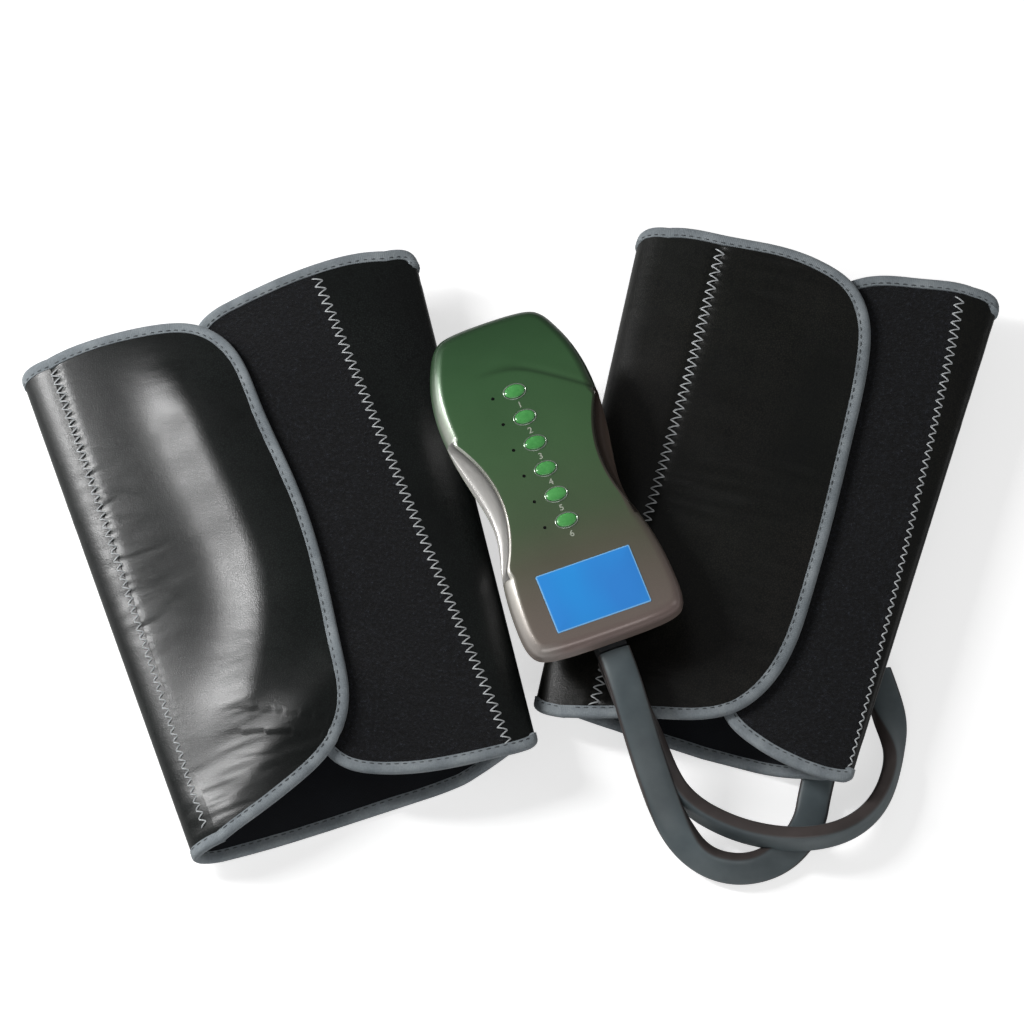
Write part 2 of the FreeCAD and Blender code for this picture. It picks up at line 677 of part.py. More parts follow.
def cuff_parts(cuff):
    """Every piece of one cuff."""
    name = cuff.side + "_cuff_"
    thick = size("wall_thick")
    skin = size("skin")
    flat = size("flat_share")
    tape = size("binding_width")
    proud = size("binding_proud")
    breaks = (-flat, flat)
    ends = [span_prism(cuff.back, 0), span_prism(cuff.back, tape)]

    back = wall(cuff, cuff.floor, -1, 1, 0, skin, breaks).common(ends[1])
    keep(feature(name + "back_panel", back), name + "back_panel", cuff.place)
    bag = span_prism(cuff.back, size("bladder_margin"))
    gap = size("ply_gap")
    share = size("bladder_share")
    top = skin + size("bladder_thick") - gap
    bladder = wall(cuff, cuff.floor, -share, share, skin + gap, top, breaks)
    keep(feature(name + "bladder", bladder.common(bag)), name + "bladder", cuff.place)
    lining = wall(cuff, cuff.floor, -1, 1, thick - size("lining_thick"), thick, breaks)
    keep(feature(name + "lining", lining.common(ends[1])), name + "lining", cuff.place)
    edge = wall(cuff, cuff.floor, -1, 1, size("overlap"), thick + proud, breaks)
    tapes = [edge.common(ends[0]).cut(ends[1])]

    trims = span_prism(cuff.back, size("fold_trim"))
    inner = fold(cuff, -1, size("flap_high")).common(trims)
    keep(feature(name + "inner_fold", inner), name + "inner_fold", cuff.place)
    outer = fold(cuff, 1, 0).common(trims)
    keep(feature(name + "outer_fold", outer), name + "outer_fold", cuff.place)

    fabric = size("fabric_thick")
    right = closing_points(cuff, 1)
    whole = plan_prism(cuff.loop, right)
    middle = plan_prism(inset(cuff.loop, tape), right)
    start = size("loop_start")
    layer = wall(cuff, cuff.roof, start, 1, -thick, -fabric).common(middle)
    keep(feature(name + "loop_layer", layer), name + "loop_layer", cuff.place)
    cover = wall(cuff, cuff.roof, start, size("fabric_end"), -fabric, 0).common(middle)
    keep(feature(name + "loop_fabric", cover), name + "loop_fabric", cuff.place)
    edge = wall(cuff, cuff.roof, start, 1, -thick - proud, size("fit"))
    tapes.append(edge.common(whole).cut(middle))

    tapes += flap_parts(cuff, name, tape, proud)
    keep(feature(name + "binding", Part.makeCompound(tapes)), name + "binding", cuff.place)
    inlet(cuff, name, back)


def flap_parts(cuff, name, tape, proud):
    """The flap with its binding and hook patch; a flap that peels part way leaves a fixed base.

    It gives back the binding of that fixed base, which is sewn to the rest of the cuff.
    """
    low = size("flap_low")
    high = size("flap_high")
    left = closing_points(cuff, -1)
    whole = plan_prism(cuff.flap, left)
    middle = plan_prism(inset(cuff.flap, tape), left)
    hinge = cuff.hinge_share
    gap = (size("spare") + size("ply_gap")) / cuff.inner_half(0)
    end = size("flap_end")
    sheet_solid = wall(cuff, cuff.roof, hinge + gap, end, low, high)
    keep(feature(name + "flap", sheet_solid.common(middle)), name + "flap", cuff.place)
    edge = wall(cuff, cuff.roof, hinge + gap, end, low - proud, high + proud)
    keep(feature(name + "flap_binding", edge.common(whole).cut(middle)), name + "flap_binding",
         cuff.place)
    start = max(hinge + 2 * gap, size("hook_start"))
    hook = wall(cuff, cuff.roof, start, end, size("hook_low"), low - size("fit"))
    hook_area = plan_prism(inset(cuff.flap, 2 * tape), left)
    keep(feature(name + "hook_patch", hook.common(hook_area)), name + "hook_patch", cuff.place)
    if hinge == -1:
        return []
    base = wall(cuff, cuff.roof, -1, hinge, low, high)
    keep(feature(name + "flap_base", base.common(middle)), name + "flap_base", cuff.place)
    return [base.common(whole).cut(middle)]


def inlet(cuff, name, back):
    """A rubber socket under the cuff's outer edge, its mouth towards the narrow end."""
    long = size("inlet_long")
    radius = size("inlet_radius")
    centre = inlet_mouth(cuff)
    along = Vector(0, 1, 0)
    sleeve = Part.makeCylinder(radius, long, centre, along)
    root = centre + Vector(0, long * 0.6, 2)
    neck = Part.makeCylinder(radius - size("neck_step"), size("neck_long"), root)
    solid = sleeve.fuse(neck).cut(Part.makeCylinder(size("inlet_bore"), long - 2, centre, along))
    flat = size("flat_share")
    above = wall(cuff, cuff.floor, -1, 1, 0, size("prism_tall") / 2, (-flat, flat))
    keep(feature(name + "inlet", solid.cut(above)), name + "inlet", cuff.place)


def inlet_mouth(cuff):
    """The middle of the socket's mouth in the cuff's own frame."""
    t = size("inlet_t")
    return Vector(cuff.inner_half(t) - size("inlet_in"), t, size("inlet_z"))


def span_prism(ends, distance):
    """A prism over the whole width between two end lines, each drawn in by a distance."""
    low, high = ends
    wide = size("prism_margin")
    corners = [(low[0][0] - wide, low[0][1] + distance)]
    corners += [(x, y + distance) for x, y in low]
    corners += [(low[-1][0] + wide, low[-1][1] + distance)]
    corners += [(high[-1][0] + wide, high[-1][1] - distance)]
    corners += [(x, y - distance) for x, y in reversed(high)]
    corners += [(high[0][0] - wide, high[0][1] - distance)]
    points = [Vector(x, y, size("prism_low")) for x, y in corners]
    face = Part.Face(Part.makePolygon(points + points[:1]))
    return face.extrude(Vector(0, 0, size("prism_tall")))


LEFT_BACK = ([(-88, -142), (-20, -139), (52, -135), (90, -128)],
             [(-104, 128), (-40, 133), (40, 134), (101, 128)])
LEFT_LOOP = [(101, -139.5), (86, -137), (56, -136), (27, -133), (9, -128), (-6, -120), (-16, -105),
             (-20, -60), (-20, 60), (-19, 112), (-12, 128), (10, 137), (34, 141), (58, 143),
             (81, 142), (98, 138), (110, 134)]
LEFT_FLAP = [(-112, 127), (-92, 134), (-63, 136.5), (-37, 134.5), (-13, 127), (0, 112), (6, 78),
             (12, 25), (12.5, -18), (9, -65), (4, -93), (-7, -109), (-28, -122), (-53, -132),
             (-78, -140), (-100, -148)]
RIGHT_BACK = ([(-77, -127), (-41, -129), (5, -133), (58, -134), (82, -137)],
              [(-93, 122), (-40, 127), (40, 128), (92, 122)])
RIGHT_LOOP = [(96, -143), (82, -141), (61, -139.5), (28, -130.5), (12, -119), (6, -100), (4, -60),
              (4, 60), (5, 100), (12, 118), (31, 129), (52, 132), (76, 134), (88, 131), (102, 124)]
RIGHT_FLAP = [(-104, 119), (-88, 129), (-75, 133), (-50, 133), (-14, 132), (4, 128), (17, 122),
              (27, 112), (33, 100), (37, 80), (39, 40), (40, -5), (39.5, -50), (37.5, -78),
              (30, -102), (18, -117), (1, -125), (-22, -129), (-50, -134), (-74, -137), (-92, -139)]

LEFT = Cuff("left", (-110.25, -15.1), 16.1, 103.0, 89.0, (4.0, 15.0, 20.0, 34.0, 5.0),
            (LEFT_BACK, LEFT_LOOP, LEFT_FLAP), -1.0)
RIGHT = Cuff("right", (122.25, 14.1), -14.3, 93.0, 81.0, (4.0, 16.5, 19.0, 35.0, 3.5),
             (RIGHT_BACK, RIGHT_LOOP, RIGHT_FLAP), -0.2)


# ---------------------------------------------------------------- hoses

# Each route's points before the kit is centred, from the outlet to the far end.
HOSE_A_POINTS = [(63, -114, 48), (70, -134, 33), (79, -157, 15), (93.5, -176, 6),
                 (114, -181.5, 5), (134, -172, 4.5), (147, -153, 4.5)]
HOSE_B_POINTS = [(64, -112, 37), (74, -130, 24), (87, -147, 14), (106, -157, 11),
                 (126, -163, 14), (148, -165, 15.5), (168, -158, 11), (182, -143, 7),
                 (189, -122, 5.4), (188.5, -104, 5), (185.5, -87, 4.9), (180.5, -72, 4.9)]


def route(points, label):
    """A wire of straight runs joined by tangent arcs as large as the runs allow."""
    edges = []
    radii = []
    last = points[0]
    for a, b, c in zip(points, points[1:], points[2:]):
        before = (a - b).normalize()
        after = (c - b).normalize()
        turn = math.pi - before.getAngle(after)
        shorter = min((a - b).Length, (c - b).Length)
        reach = 0.45 * shorter
        radius = reach / math.tan(turn / 2)
        start = b + before * reach
        end = b + after * reach
        inward = (before + after).normalize()
        centre = b + inward * (radius / math.cos(turn / 2))
        edges.append(Part.LineSegment(last, start).toShape())
        edges.append(Part.Arc(start, centre - inward * radius, end).toShape())
        radii.append(round(radius, 1))
        last = end
    edges.append(Part.LineSegment(last, points[-1]).toShape())
    wire = Part.Wire(edges)
    print(label, "length %.1f" % wire.Length, "radii", radii,
          "runs", [round((b - a).Length, 1) for a, b in zip(points, points[1:])])
    return wire


def hose(label, points):
    """A plain round tube along its route."""
    wire = route(points, label)
    radius = size("hose_diameter") / 2
    start = points[0]
    ring = Part.Wire(Part.Circle(start, points[1] - start, radius).toShape())
    solid = wire.makePipeShell([ring], True, True)
    ideal = math.pi * radius ** 2 * wire.Length
    if abs(solid.Volume / ideal - 1) > 0.02:
        raise ValueError(label + " is not its section times its length")
    keep(feature(label, solid), label)


def outlet(level):
    """A hose's start at the end of the lower or upper nozzle, and a point straight out of it."""
    z = size("nozzle_low") + level * size("nozzle_pitch")
    return [CASE.multVec(Vector(size("nozzle_x"), -size("nozzle_end") - out, z))
            for out in (0, size("nozzle_lead"))]


def hoses():
    """Hose A runs to the right cuff's socket; hose B ends in a plug tucked under that cuff."""
    first = [Vector(*p) - KIT for p in HOSE_A_POINTS]
    mouth = RIGHT.place.multVec(inlet_mouth(RIGHT))
    down = RIGHT.place.Rotation.multVec(Vector(0, -1, 0))
    hose("hose_a", outlet(1) + first + [mouth + down * size("inlet_run"), mouth])
    second = [Vector(*p) - KIT for p in HOSE_B_POINTS]
    hose("hose_b", outlet(0) + second)
    tip = second[-1]
    along = (second[-1] - second[-2]).normalize()
    collar = Part.makeCylinder(size("collar_radius"), size("collar_long"), tip, along)
    plug = Part.makeCylinder(size("plug_radius"), size("plug_long"),
                             tip + along * size("collar_long"), along)
    keep(feature("hose_b_connector", collar.fuse(plug)), "hose_b_connector")


def write_parts():
    """Check every object and sub-part, then write one file for each."""
    doc.recompute()
    for thing in doc.Objects:
        if "Invalid" in thing.State or "Error" in thing.State:
            raise ValueError(thing.Label + " failed: " + str(thing.State))
    for thing in PARTS:
        if thing.Shape.isNull() or not thing.Shape.isValid() or not thing.Shape.Solids:
            raise ValueError(thing.Label + " has no valid shape")
    os.makedirs("parts", exist_ok=True)
    for thing in PARTS:
        thing.Shape.exportStep("parts/" + thing.Label + ".step")
    print(len(PARTS), "parts written")


rear_cover()
front_cover()
side_grips()
screen()
buttons()
button_rims()
light_guides()
boards()
pump()
valves()
air_path()
fasteners()
cuff_parts(LEFT)
cuff_parts(RIGHT)
hoses()
write_parts()
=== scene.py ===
"""Compression therapy kit: a hand-held pump controller on two folded calf cuffs, with two flat hoses.

Lengths are in metres.  +X runs across both cuffs, +Y towards their wide ends and +Z up.
"""
import math

import bpy
import numpy as np
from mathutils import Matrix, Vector
from mathutils.geometry import delaunay_2d_cdt


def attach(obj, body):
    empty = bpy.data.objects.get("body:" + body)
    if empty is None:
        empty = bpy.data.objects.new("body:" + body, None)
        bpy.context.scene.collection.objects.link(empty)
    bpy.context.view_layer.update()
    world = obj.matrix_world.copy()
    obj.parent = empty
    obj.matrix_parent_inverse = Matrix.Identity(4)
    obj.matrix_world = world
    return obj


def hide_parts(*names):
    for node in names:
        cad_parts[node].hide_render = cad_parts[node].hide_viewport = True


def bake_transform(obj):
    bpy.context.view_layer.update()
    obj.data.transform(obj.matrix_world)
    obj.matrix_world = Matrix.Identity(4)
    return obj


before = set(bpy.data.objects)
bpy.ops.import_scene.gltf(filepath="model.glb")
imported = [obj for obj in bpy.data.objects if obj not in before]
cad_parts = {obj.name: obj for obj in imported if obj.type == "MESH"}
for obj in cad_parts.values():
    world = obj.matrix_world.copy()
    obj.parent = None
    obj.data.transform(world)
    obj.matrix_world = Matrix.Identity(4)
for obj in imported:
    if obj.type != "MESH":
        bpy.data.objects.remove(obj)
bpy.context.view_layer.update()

MM = 0.001


# ---------------------------------------------------------------- arrays and meshes

def unit(v):
    """Vectors scaled to length one."""
    return v / np.linalg.norm(v, axis=-1, keepdims=True)


def smooth_step(x, low, high):
    """0 before low, 1 after high, and a cubic step between them."""
    x = np.clip((x - low) / (high - low), 0.0, 1.0)
    return x * x * (3 - 2 * x)


def bell(x, middle, width):
    """A bell curve of height one."""
    return np.exp(-((x - middle) / width) ** 2)


def waves(x, y, seed):
    """Smooth noise from -1 to 1: seeded lattice values joined by cubic steps, in two octaves."""
    total = np.zeros(np.broadcast(x, y).shape)
    for octave in (0, 1):
        values = np.random.default_rng(seed + octave).uniform(-1, 1, (64, 64))
        u = x * 2 ** octave + 11.3 * octave
        v = y * 2 ** octave + 7.7 * octave
        i = np.floor(u).astype(int)
        j = np.floor(v).astype(int)
        a, b = smooth_step(u - i, 0, 1), smooth_step(v - j, 0, 1)
        near, far = (values[i % 64, k % 64] * (1 - a) + values[(i + 1) % 64, k % 64] * a
                     for k in (j, j + 1))
        total += (near * (1 - b) + far * b) / 2 ** octave
    return total / 1.5


def lengths(line):
    """How far along a line each of its points lies."""
    return np.r_[0, np.cumsum(np.linalg.norm(np.diff(line, axis=0), axis=1))]


def through(points, count):
    """A natural cubic spline through points, read at even steps of its chord length."""
    points = np.array(points, float)
    chord = lengths(points)
    step = np.diff(chord)
    n = len(points)
    left = np.eye(n)
    right = np.zeros_like(points)
    for i in range(1, n - 1):
        left[i, i - 1:i + 2] = step[i - 1], 2 * (step[i - 1] + step[i]), step[i]
        right[i] = 6 * ((points[i + 1] - points[i]) / step[i]
                        - (points[i] - points[i - 1]) / step[i - 1])
    bend = np.linalg.solve(left, right)
    at = np.linspace(0, chord[-1], count)
    k = np.clip(np.searchsorted(chord, at, side="right") - 1, 0, n - 2)
    h = step[k][:, None]
    a = (chord[k + 1] - at)[:, None] / h
    b = 1 - a
    return (a * points[k] + b * points[k + 1]
            + ((a ** 3 - a) * bend[k] + (b ** 3 - b) * bend[k + 1]) * h ** 2 / 6)


def read_at(at, run, values):
    """Columns of values along a run, read at other lengths."""
    return np.stack([np.interp(at, run, column) for column in values.T], 1)


def even(line, count):
    """A line of points read again at even lengths."""
    run = lengths(line)
    return read_at(np.linspace(0, run[-1], count), run, line)


def circle(count, turn=2 * np.pi):
    """Points round a circle of radius one."""
    angle = np.linspace(0, turn, count, endpoint=False)
    return np.stack([np.cos(angle), np.sin(angle)], 1)


def at_height(ring, z):
    """A ring in the plane, at a height."""
    return np.concatenate([ring, np.full((len(ring), 1), z)], 1)


def turned(points, angle, move=(0, 0, 0)):
    """Points turned about Z and then moved."""
    x, y, z = np.moveaxis(points, -1, 0)
    cos, sin = math.cos(angle), math.sin(angle)
    return np.stack([x * cos - y * sin, x * sin + y * cos, z], -1) + move


def grid_faces(rows, columns, ring_rows=False, ring_columns=False):
    """Quads over a grid of points; a ring joins its last row or column to the first."""
    i = np.arange(rows if ring_rows else rows - 1)[:, None]
    j = np.arange(columns if ring_columns else columns - 1)[None, :]
    ni = (i + 1) % rows
    nj = (j + 1) % columns
    quads = np.stack([i * columns + j, ni * columns + j, ni * columns + nj, i * columns + nj], -1)
    return quads.reshape(-1, 4).tolist()


def tube_faces(count, sides):
    """Faces of a tube through rings of points, with one face at each end."""
    last = (count - 1) * sides
    return grid_faces(count, sides, ring_columns=True) + [list(range(sides - 1, -1, -1)),
                                                          list(range(last, last + sides))]


def walls(loop, size):
    """Quads from a closed loop of an outer grid to the same loop of the inner grid after it."""
    ahead = np.roll(loop, -1)
    return np.stack([loop, ahead, ahead + size, loop + size], 1).tolist()


def turned_over(faces, size):
    """The faces of an inner grid, which follows the outer one, facing the other way."""
    return [[k + size for k in reversed(f)] for f in faces]


def shell_faces(rows, columns):
    """Faces of a closed shell whose outer and inner grids follow each other in one array."""
    outer = grid_faces(rows, columns)
    size = rows * columns
    index = np.arange(size).reshape(rows, columns)
    rim = np.r_[index[0], index[1:, -1], index[-1, -2::-1], index[-2:0:-1, 0]]
    return outer + turned_over(outer, size) + walls(rim, size)


def joined(parts):
    """Several (points, faces) as one."""
    points, faces, start = [], [], 0
    for some, theirs in parts:
        points.append(some.reshape(-1, 3))
        faces += [[v + start for v in f] for f in theirs]
        start += len(points[-1])
    return np.concatenate(points), faces


def piece(name, points, faces, finish, crease=50, uv=None, replaces=(), rides="root"):
    """A mesh object with a finish, which is a material and its slot; the slot is not used.

    Its faces are turned outwards, and edges sharper than the crease stay crisp.
    """
    material, slot = finish
    points = np.ascontiguousarray(points, float).reshape(-1, 3)
    centre = points.mean(axis=0)
    fan = np.array([(f[0], f[k], f[k + 1]) for f in faces for k in range(1, len(f) - 1)])
    a, b, c = (points[fan[:, k]] - centre for k in range(3))
    if np.einsum("ij,ij->i", a, np.cross(b, c)).sum() < 0:
        faces = [f[::-1] for f in faces]
    mesh = bpy.data.meshes.new(name)
    mesh.from_pydata(points.tolist(), [], faces)
    if uv is not None:
        layer = mesh.uv_layers.new(name="sheet")
        corner = np.empty(len(mesh.loops), int)
        mesh.loops.foreach_get("vertex_index", corner)
        layer.data.foreach_set("uv", np.asarray(uv, float).reshape(-1, 2)[corner].ravel())
    mesh.shade_smooth()
    mesh.set_sharp_from_angle(angle=math.radians(crease))
    mesh.materials.append(material)
    thing = bpy.data.objects.new(name, mesh)
    bpy.context.collection.objects.link(thing)
    if replaces:
        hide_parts(*replaces)
    if rides:
        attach(thing, rides)
    return thing


def shells(name, pairs, finish, uvs=None, **more):
    """One piece of one or more closed shells, each between an outer and an inner grid."""
    points, faces = joined([(np.stack(pair), shell_faces(*pair[0].shape[:2])) for pair in pairs])
    uv = uvs and np.concatenate([np.tile(marks.reshape(-1, 2), (2, 1)) for marks in uvs])
    return piece(name, points, faces, finish, uv=uv, **more)


def sweep(name, rings, finish, **more):
    """A closed tube through rings of points."""
    return piece(name, rings, tube_faces(*rings.shape[:2]), finish, **more)


STITCH_SHARES = np.array([0.0, 0.18, 0.5, 0.82, 1.0])
STITCH_GIRTH = np.array([0.45, 1.0, 1.0, 1.0, 0.45])
STITCH_SIDES = 6


def stitches(name, starts, ends, normals, radius, rise, sink, finish, rides):
    """Short arched threads from each start to its end, dipping into the cloth at both ends."""
    along = unit(ends - starts)
    side = unit(np.cross(normals, along))
    arch = (rise + sink) * 4 * STITCH_SHARES * (1 - STITCH_SHARES) - sink
    spine = (starts[:, None] + (ends - starts)[:, None] * STITCH_SHARES[None, :, None]
             + normals[:, None] * arch[None, :, None])
    ring = radius * STITCH_GIRTH[:, None, None] * circle(STITCH_SIDES)
    rings = (spine[:, :, None] + side[:, None, None] * ring[None, ..., :1]
             + normals[:, None, None] * ring[None, ..., 1:])
    one = tube_faces(len(STITCH_SHARES), STITCH_SIDES)
    points, faces = joined([(ring, one) for ring in rings])
    return piece(name, points, faces, finish, 60, rides=rides)


# ---------------------------------------------------------------- materials

class Paint:
    """A node tree and the shader at its end.  Inputs are named as in the shader, with _ for a space."""

    def __init__(self, owner, shader="Principled BSDF", **values):
        owner.use_nodes = True
        self.owner = owner
        self.tree = owner.node_tree
        self.shader = self.tree.nodes[shader]
        self.put(**values)

    def join(self, value, target):
        """Give an input a socket, a number, a vector or a colour."""
        if isinstance(value, bpy.types.NodeSocket):
            self.tree.links.new(value, target)
        else:
            target.default_value = (*value, 1) if target.type == "RGBA" else value

    def put(self, **values):
        """Set the shader's inputs."""
        for name, value in values.items():
            self.join(value, self.shader.inputs[name.replace("_", " ")])

    def add(self, kind, *feeds, out=0, **values):
        """An output of a new node: the feeds go to its first inputs, the values by name."""
        made = self.tree.nodes.new("ShaderNode" + kind)
        for name, value in values.items():
            socket = made.inputs.get(name.replace("_", " "))
            if socket:
                self.join(value, socket)
            else:
                setattr(made, name, value)
        for feed, target in zip(feeds, made.inputs):
            self.join(feed, target)
        return made.outputs[out]

    def maths(self, operation, *values):
        """A sum, product or other operation on sockets or numbers."""
        return self.add("Math", *values, operation=operation)

    def blend(self, first, share, second):
        """A share of one number and the rest of another."""
        return self.maths("ADD", self.maths("MULTIPLY", first, share),
                          self.maths("MULTIPLY", second, 1 - share))

    def spread(self, source, low, high, start=0.0, end=1.0):
        """A number between start and end, spread out from low to high."""
        return self.add("MapRange", source, From_Min=start, From_Max=end, To_Min=low, To_Max=high)

    def ramp(self, source, *stops):
        """A colour ramp through (place, colour) stops."""
        out = self.add("ValToRGB", source)
        elements = out.node.color_ramp.elements
        while len(elements) < len(stops):
            elements.new(0.5)
        for element, (place, colour) in zip(elements, stops):
            element.position = place
            element.color = (*colour, 1)
        return out

    def mix(self, factor, a, b, blend="MIX"):
        """A colour between two, by a factor; each may be a socket or a value."""
        made = self.add("Mix", data_type="RGBA", blend_type=blend, out=2).node
        for value, k in ((factor, 0), (a, 6), (b, 7)):
            self.join(value, made.inputs[k])
        return made.outputs[2]

    def bump(self, height, strength, distance):
        """Relief from a height; further reliefs are laid over the first."""
        under = [{"Normal": link.from_socket} for link in self.shader.inputs["Normal"].links]
        self.put(Normal=self.add("Bump", Strength=strength, Distance=distance, Height=height,
                                 **(under[0] if under else {})))

    def place(self, scale=(1, 1, 1), turn=0.0):
        """Object coordinates, scaled and turned about Z."""
        return self.add("Mapping", self.add("TexCoord", out="Object"), Scale=scale,
                        Rotation=(0, 0, turn))

    def case_place(self, scale=(1, 1, 1)):
        """Object coordinates in the case's own frame, in metres."""
        return self.add("Mapping", self.add("TexCoord", out="Object"), vector_type="TEXTURE",
                        Location=CASE_PLACE, Rotation=(0, 0, CASE_TURN), Scale=[1 / s for s in scale])

    def sheet(self):
        """The two coordinates that a mesh keeps for its own surface."""
        return self.add("UVMap", uv_map="sheet")

    def part(self, vector, axis):
        """One coordinate of a place."""
        return self.add("SeparateXYZ", vector, out=axis)

    def noise(self, place, scale, detail=3.0, roughness=0.55):
        """Fractal noise at a scale per metre."""
        return self.add("TexNoise", place, Scale=scale, Detail=detail, Roughness=roughness)

    def wave(self, place, scale, direction, distortion=0.0):
        """Even bands across a direction."""
        return self.add("TexWave", place, out="Fac", Scale=scale, bands_direction=direction,
                        Distortion=distortion)

    def gloss(self, source, low, high):
        """An uneven roughness."""
        self.put(Roughness=self.spread(source, low, high))

    def along_case(self, *stops, reach=0.2):
        """A ramp along the case: stops are (place along it in mm, colour)."""
        share = self.maths("ADD", self.maths("DIVIDE", self.part(self.case_place(), "Y"), reach), 0.5)
        return self.ramp(share, *((y * MM / reach + 0.5, colour) for y, colour in stops))


def paint(name, **values):
    """A material to be painted, with its shader's plain values."""
    return Paint(bpy.data.materials.new(name), **values)


def srgb(r, g, b):
    """A screen colour from 0 to 255 as linear light."""
    c = np.array([r, g, b]) / 255
    return tuple(np.where(c <= 0.04045, c / 12.92, ((c + 0.055) / 1.055) ** 2.4).tolist())


def grey(value):
    """A grey of linear light."""
    return (value,) * 3


def leather(name, low, high, turn, gloss, sheen_colour):
    """Artificial leather: fine cell grain, crosswise creases, uneven gloss, soft patches of painted
    sheen in its colour and a thin top coat.
    """
    made = paint(name, Coat_Weight=0.12, Coat_Roughness=0.22, Specular_IOR_Level=0.42)
    turn = math.radians(turn)
    place = made.place(turn=turn)
    # Painted sheen: soft patches where the sheen colour is mixed into the leather's tone.
    sheen_cloud = made.ramp(made.noise(place, 11.0, 2.0), (0.25, grey(0)), (0.80, grey(0.6)))
    tone = made.mix(sheen_cloud, made.ramp(made.noise(place, 22.0, 4.0), (0.35, low), (0.68, high)), sheen_colour)
    made.gloss(made.noise(place, 60.0, 4.0), gloss, gloss + 0.11)
    cells = made.add("TexVoronoi", place, out="Distance", feature="DISTANCE_TO_EDGE", Scale=900.0)
    pores = made.ramp(cells, (0.0, grey(0)), (0.25, grey(1)))
    made.put(Base_Color=made.mix(pores, srgb(3, 5, 5), tone))
    made.bump(pores, 0.5, 0.00004)
    made.bump(made.noise(made.place((1, 3.4, 1), turn), 85.0, 5.0, 0.5), 0.3, 0.00022)
    made.bump(made.noise(place, 420.0), 0.2, 0.00008)
    return made.owner, "leather"


def loop_cloth():
    """Black brushed loops: a dense nap with bluish flecks and soft sheen."""
    made = paint("loop_cloth", Roughness=0.95, Specular_IOR_Level=0.15, Sheen_Weight=0.12,
                 Sheen_Roughness=0.6)
    fleck = made.noise(made.place(), 2200.0, 2.0, 0.7)
    clump = made.noise(made.place(), 620.0, 3.0, 0.6)
    made.put(Base_Color=made.ramp(made.maths("MULTIPLY", fleck, clump), (0.18, srgb(6, 6, 8)),
                                  (0.34, srgb(24, 26, 31)), (0.46, srgb(58, 62, 72))))
    made.bump(clump, 0.7, 0.0012)
    made.bump(fleck, 0.8, 0.0006)
    return made.owner, "loop_cloth"


def binding_tape():
    """Slate grey woven tape: fine ribs across it and a soft, uneven weave."""
    made = paint("binding_tape", Roughness=0.72, Sheen_Weight=0.15, Sheen_Roughness=0.5)
    place = made.sheet()
    tone = made.blend(made.noise(place, 70.0, 4.0), 0.7, made.noise(place, 900.0, 2.0))
    made.put(Base_Color=made.ramp(tone, (0.30, srgb(110, 118, 124)), (0.52, srgb(136, 144, 149)),
                                  (0.72, srgb(158, 165, 169))))
    made.bump(made.wave(place, 330.0, "X", 0.6), 0.35, 0.00025)
    made.bump(made.wave(place, 520.0, "Y", 0.4), 0.2, 0.00015)
    return made.owner, "binding_tape"


def thread(name, colour):
    """Twisted polyester thread."""
    made = paint(name, Roughness=0.5, Sheen_Weight=0.2)
    made.put(Base_Color=made.ramp(made.noise(made.place(), 500.0, 2.0),
                                  (0.3, tuple(c * 0.72 for c in colour)), (0.7, colour)))
    made.bump(made.wave(made.place(), 900.0, "DIAGONAL"), 0.4, 0.0001)
    return made.owner, "binding_tape"


def lining_cloth():
    """A plain weave: two crossed sets of fine threads."""
    made = paint("lining_cloth", Roughness=0.8)
    place = made.sheet()
    weave = made.maths("MULTIPLY", made.wave(place, 420.0, "X", 0.5), made.wave(place, 420.0, "Y", 0.5))
    tone = made.blend(weave, 0.5, made.noise(place, 40.0, 4.0))
    made.put(Base_Color=made.ramp(tone, (0.2, srgb(12, 15, 20)), (0.7, srgb(26, 31, 40))))
    made.bump(weave, 0.5, 0.0002)
    return made.owner, "lining_cloth"


def hose_rubber():
    """Satin slate rubber with a few scuffs, and a painted brownish reflection that makes the two narrow
    sides darker.
    """
    made = paint("hose_rubber")
    tone = made.noise(made.place(), 30.0, 4.0)
    # Painted reflection: the narrow sides of the section take the darker brown colour.
    swing = made.maths("ABSOLUTE", made.maths("SUBTRACT", made.part(made.sheet(), "Y"), 0.5))
    made.put(Base_Color=made.mix(made.ramp(swing, (0.42, grey(0)), (0.48, grey(1))),
                                 made.ramp(tone, (0.35, srgb(84, 94, 98)), (0.7, srgb(106, 116, 119))),
                                 made.ramp(tone, (0.35, srgb(62, 56, 55)), (0.7, srgb(84, 76, 74)))))
    made.gloss(made.noise(made.place(), 90.0), 0.34, 0.5)
    made.bump(made.noise(made.place(), 700.0), 0.15, 0.0001)
    return made.owner, "hose_rubber"


# The last colour of each leather is its painted sheen.
LEATHER_LEFT = leather("leather_left", srgb(9, 14, 13), srgb(24, 32, 29), -16.1, 0.26, srgb(30, 31, 32))
LEATHER_RIGHT = leather("leather_right", srgb(6, 12, 8), srgb(20, 26, 18), 14.3, 0.24, srgb(40, 33, 32))
LOOP_CLOTH = loop_cloth()
TAPE = binding_tape()
SEAM_THREAD = thread("seam_thread", srgb(204, 208, 210))
TAPE_THREAD = thread("tape_thread", srgb(78, 84, 88))
LINING = lining_cloth()


# ---------------------------------------------------------------- cuffs

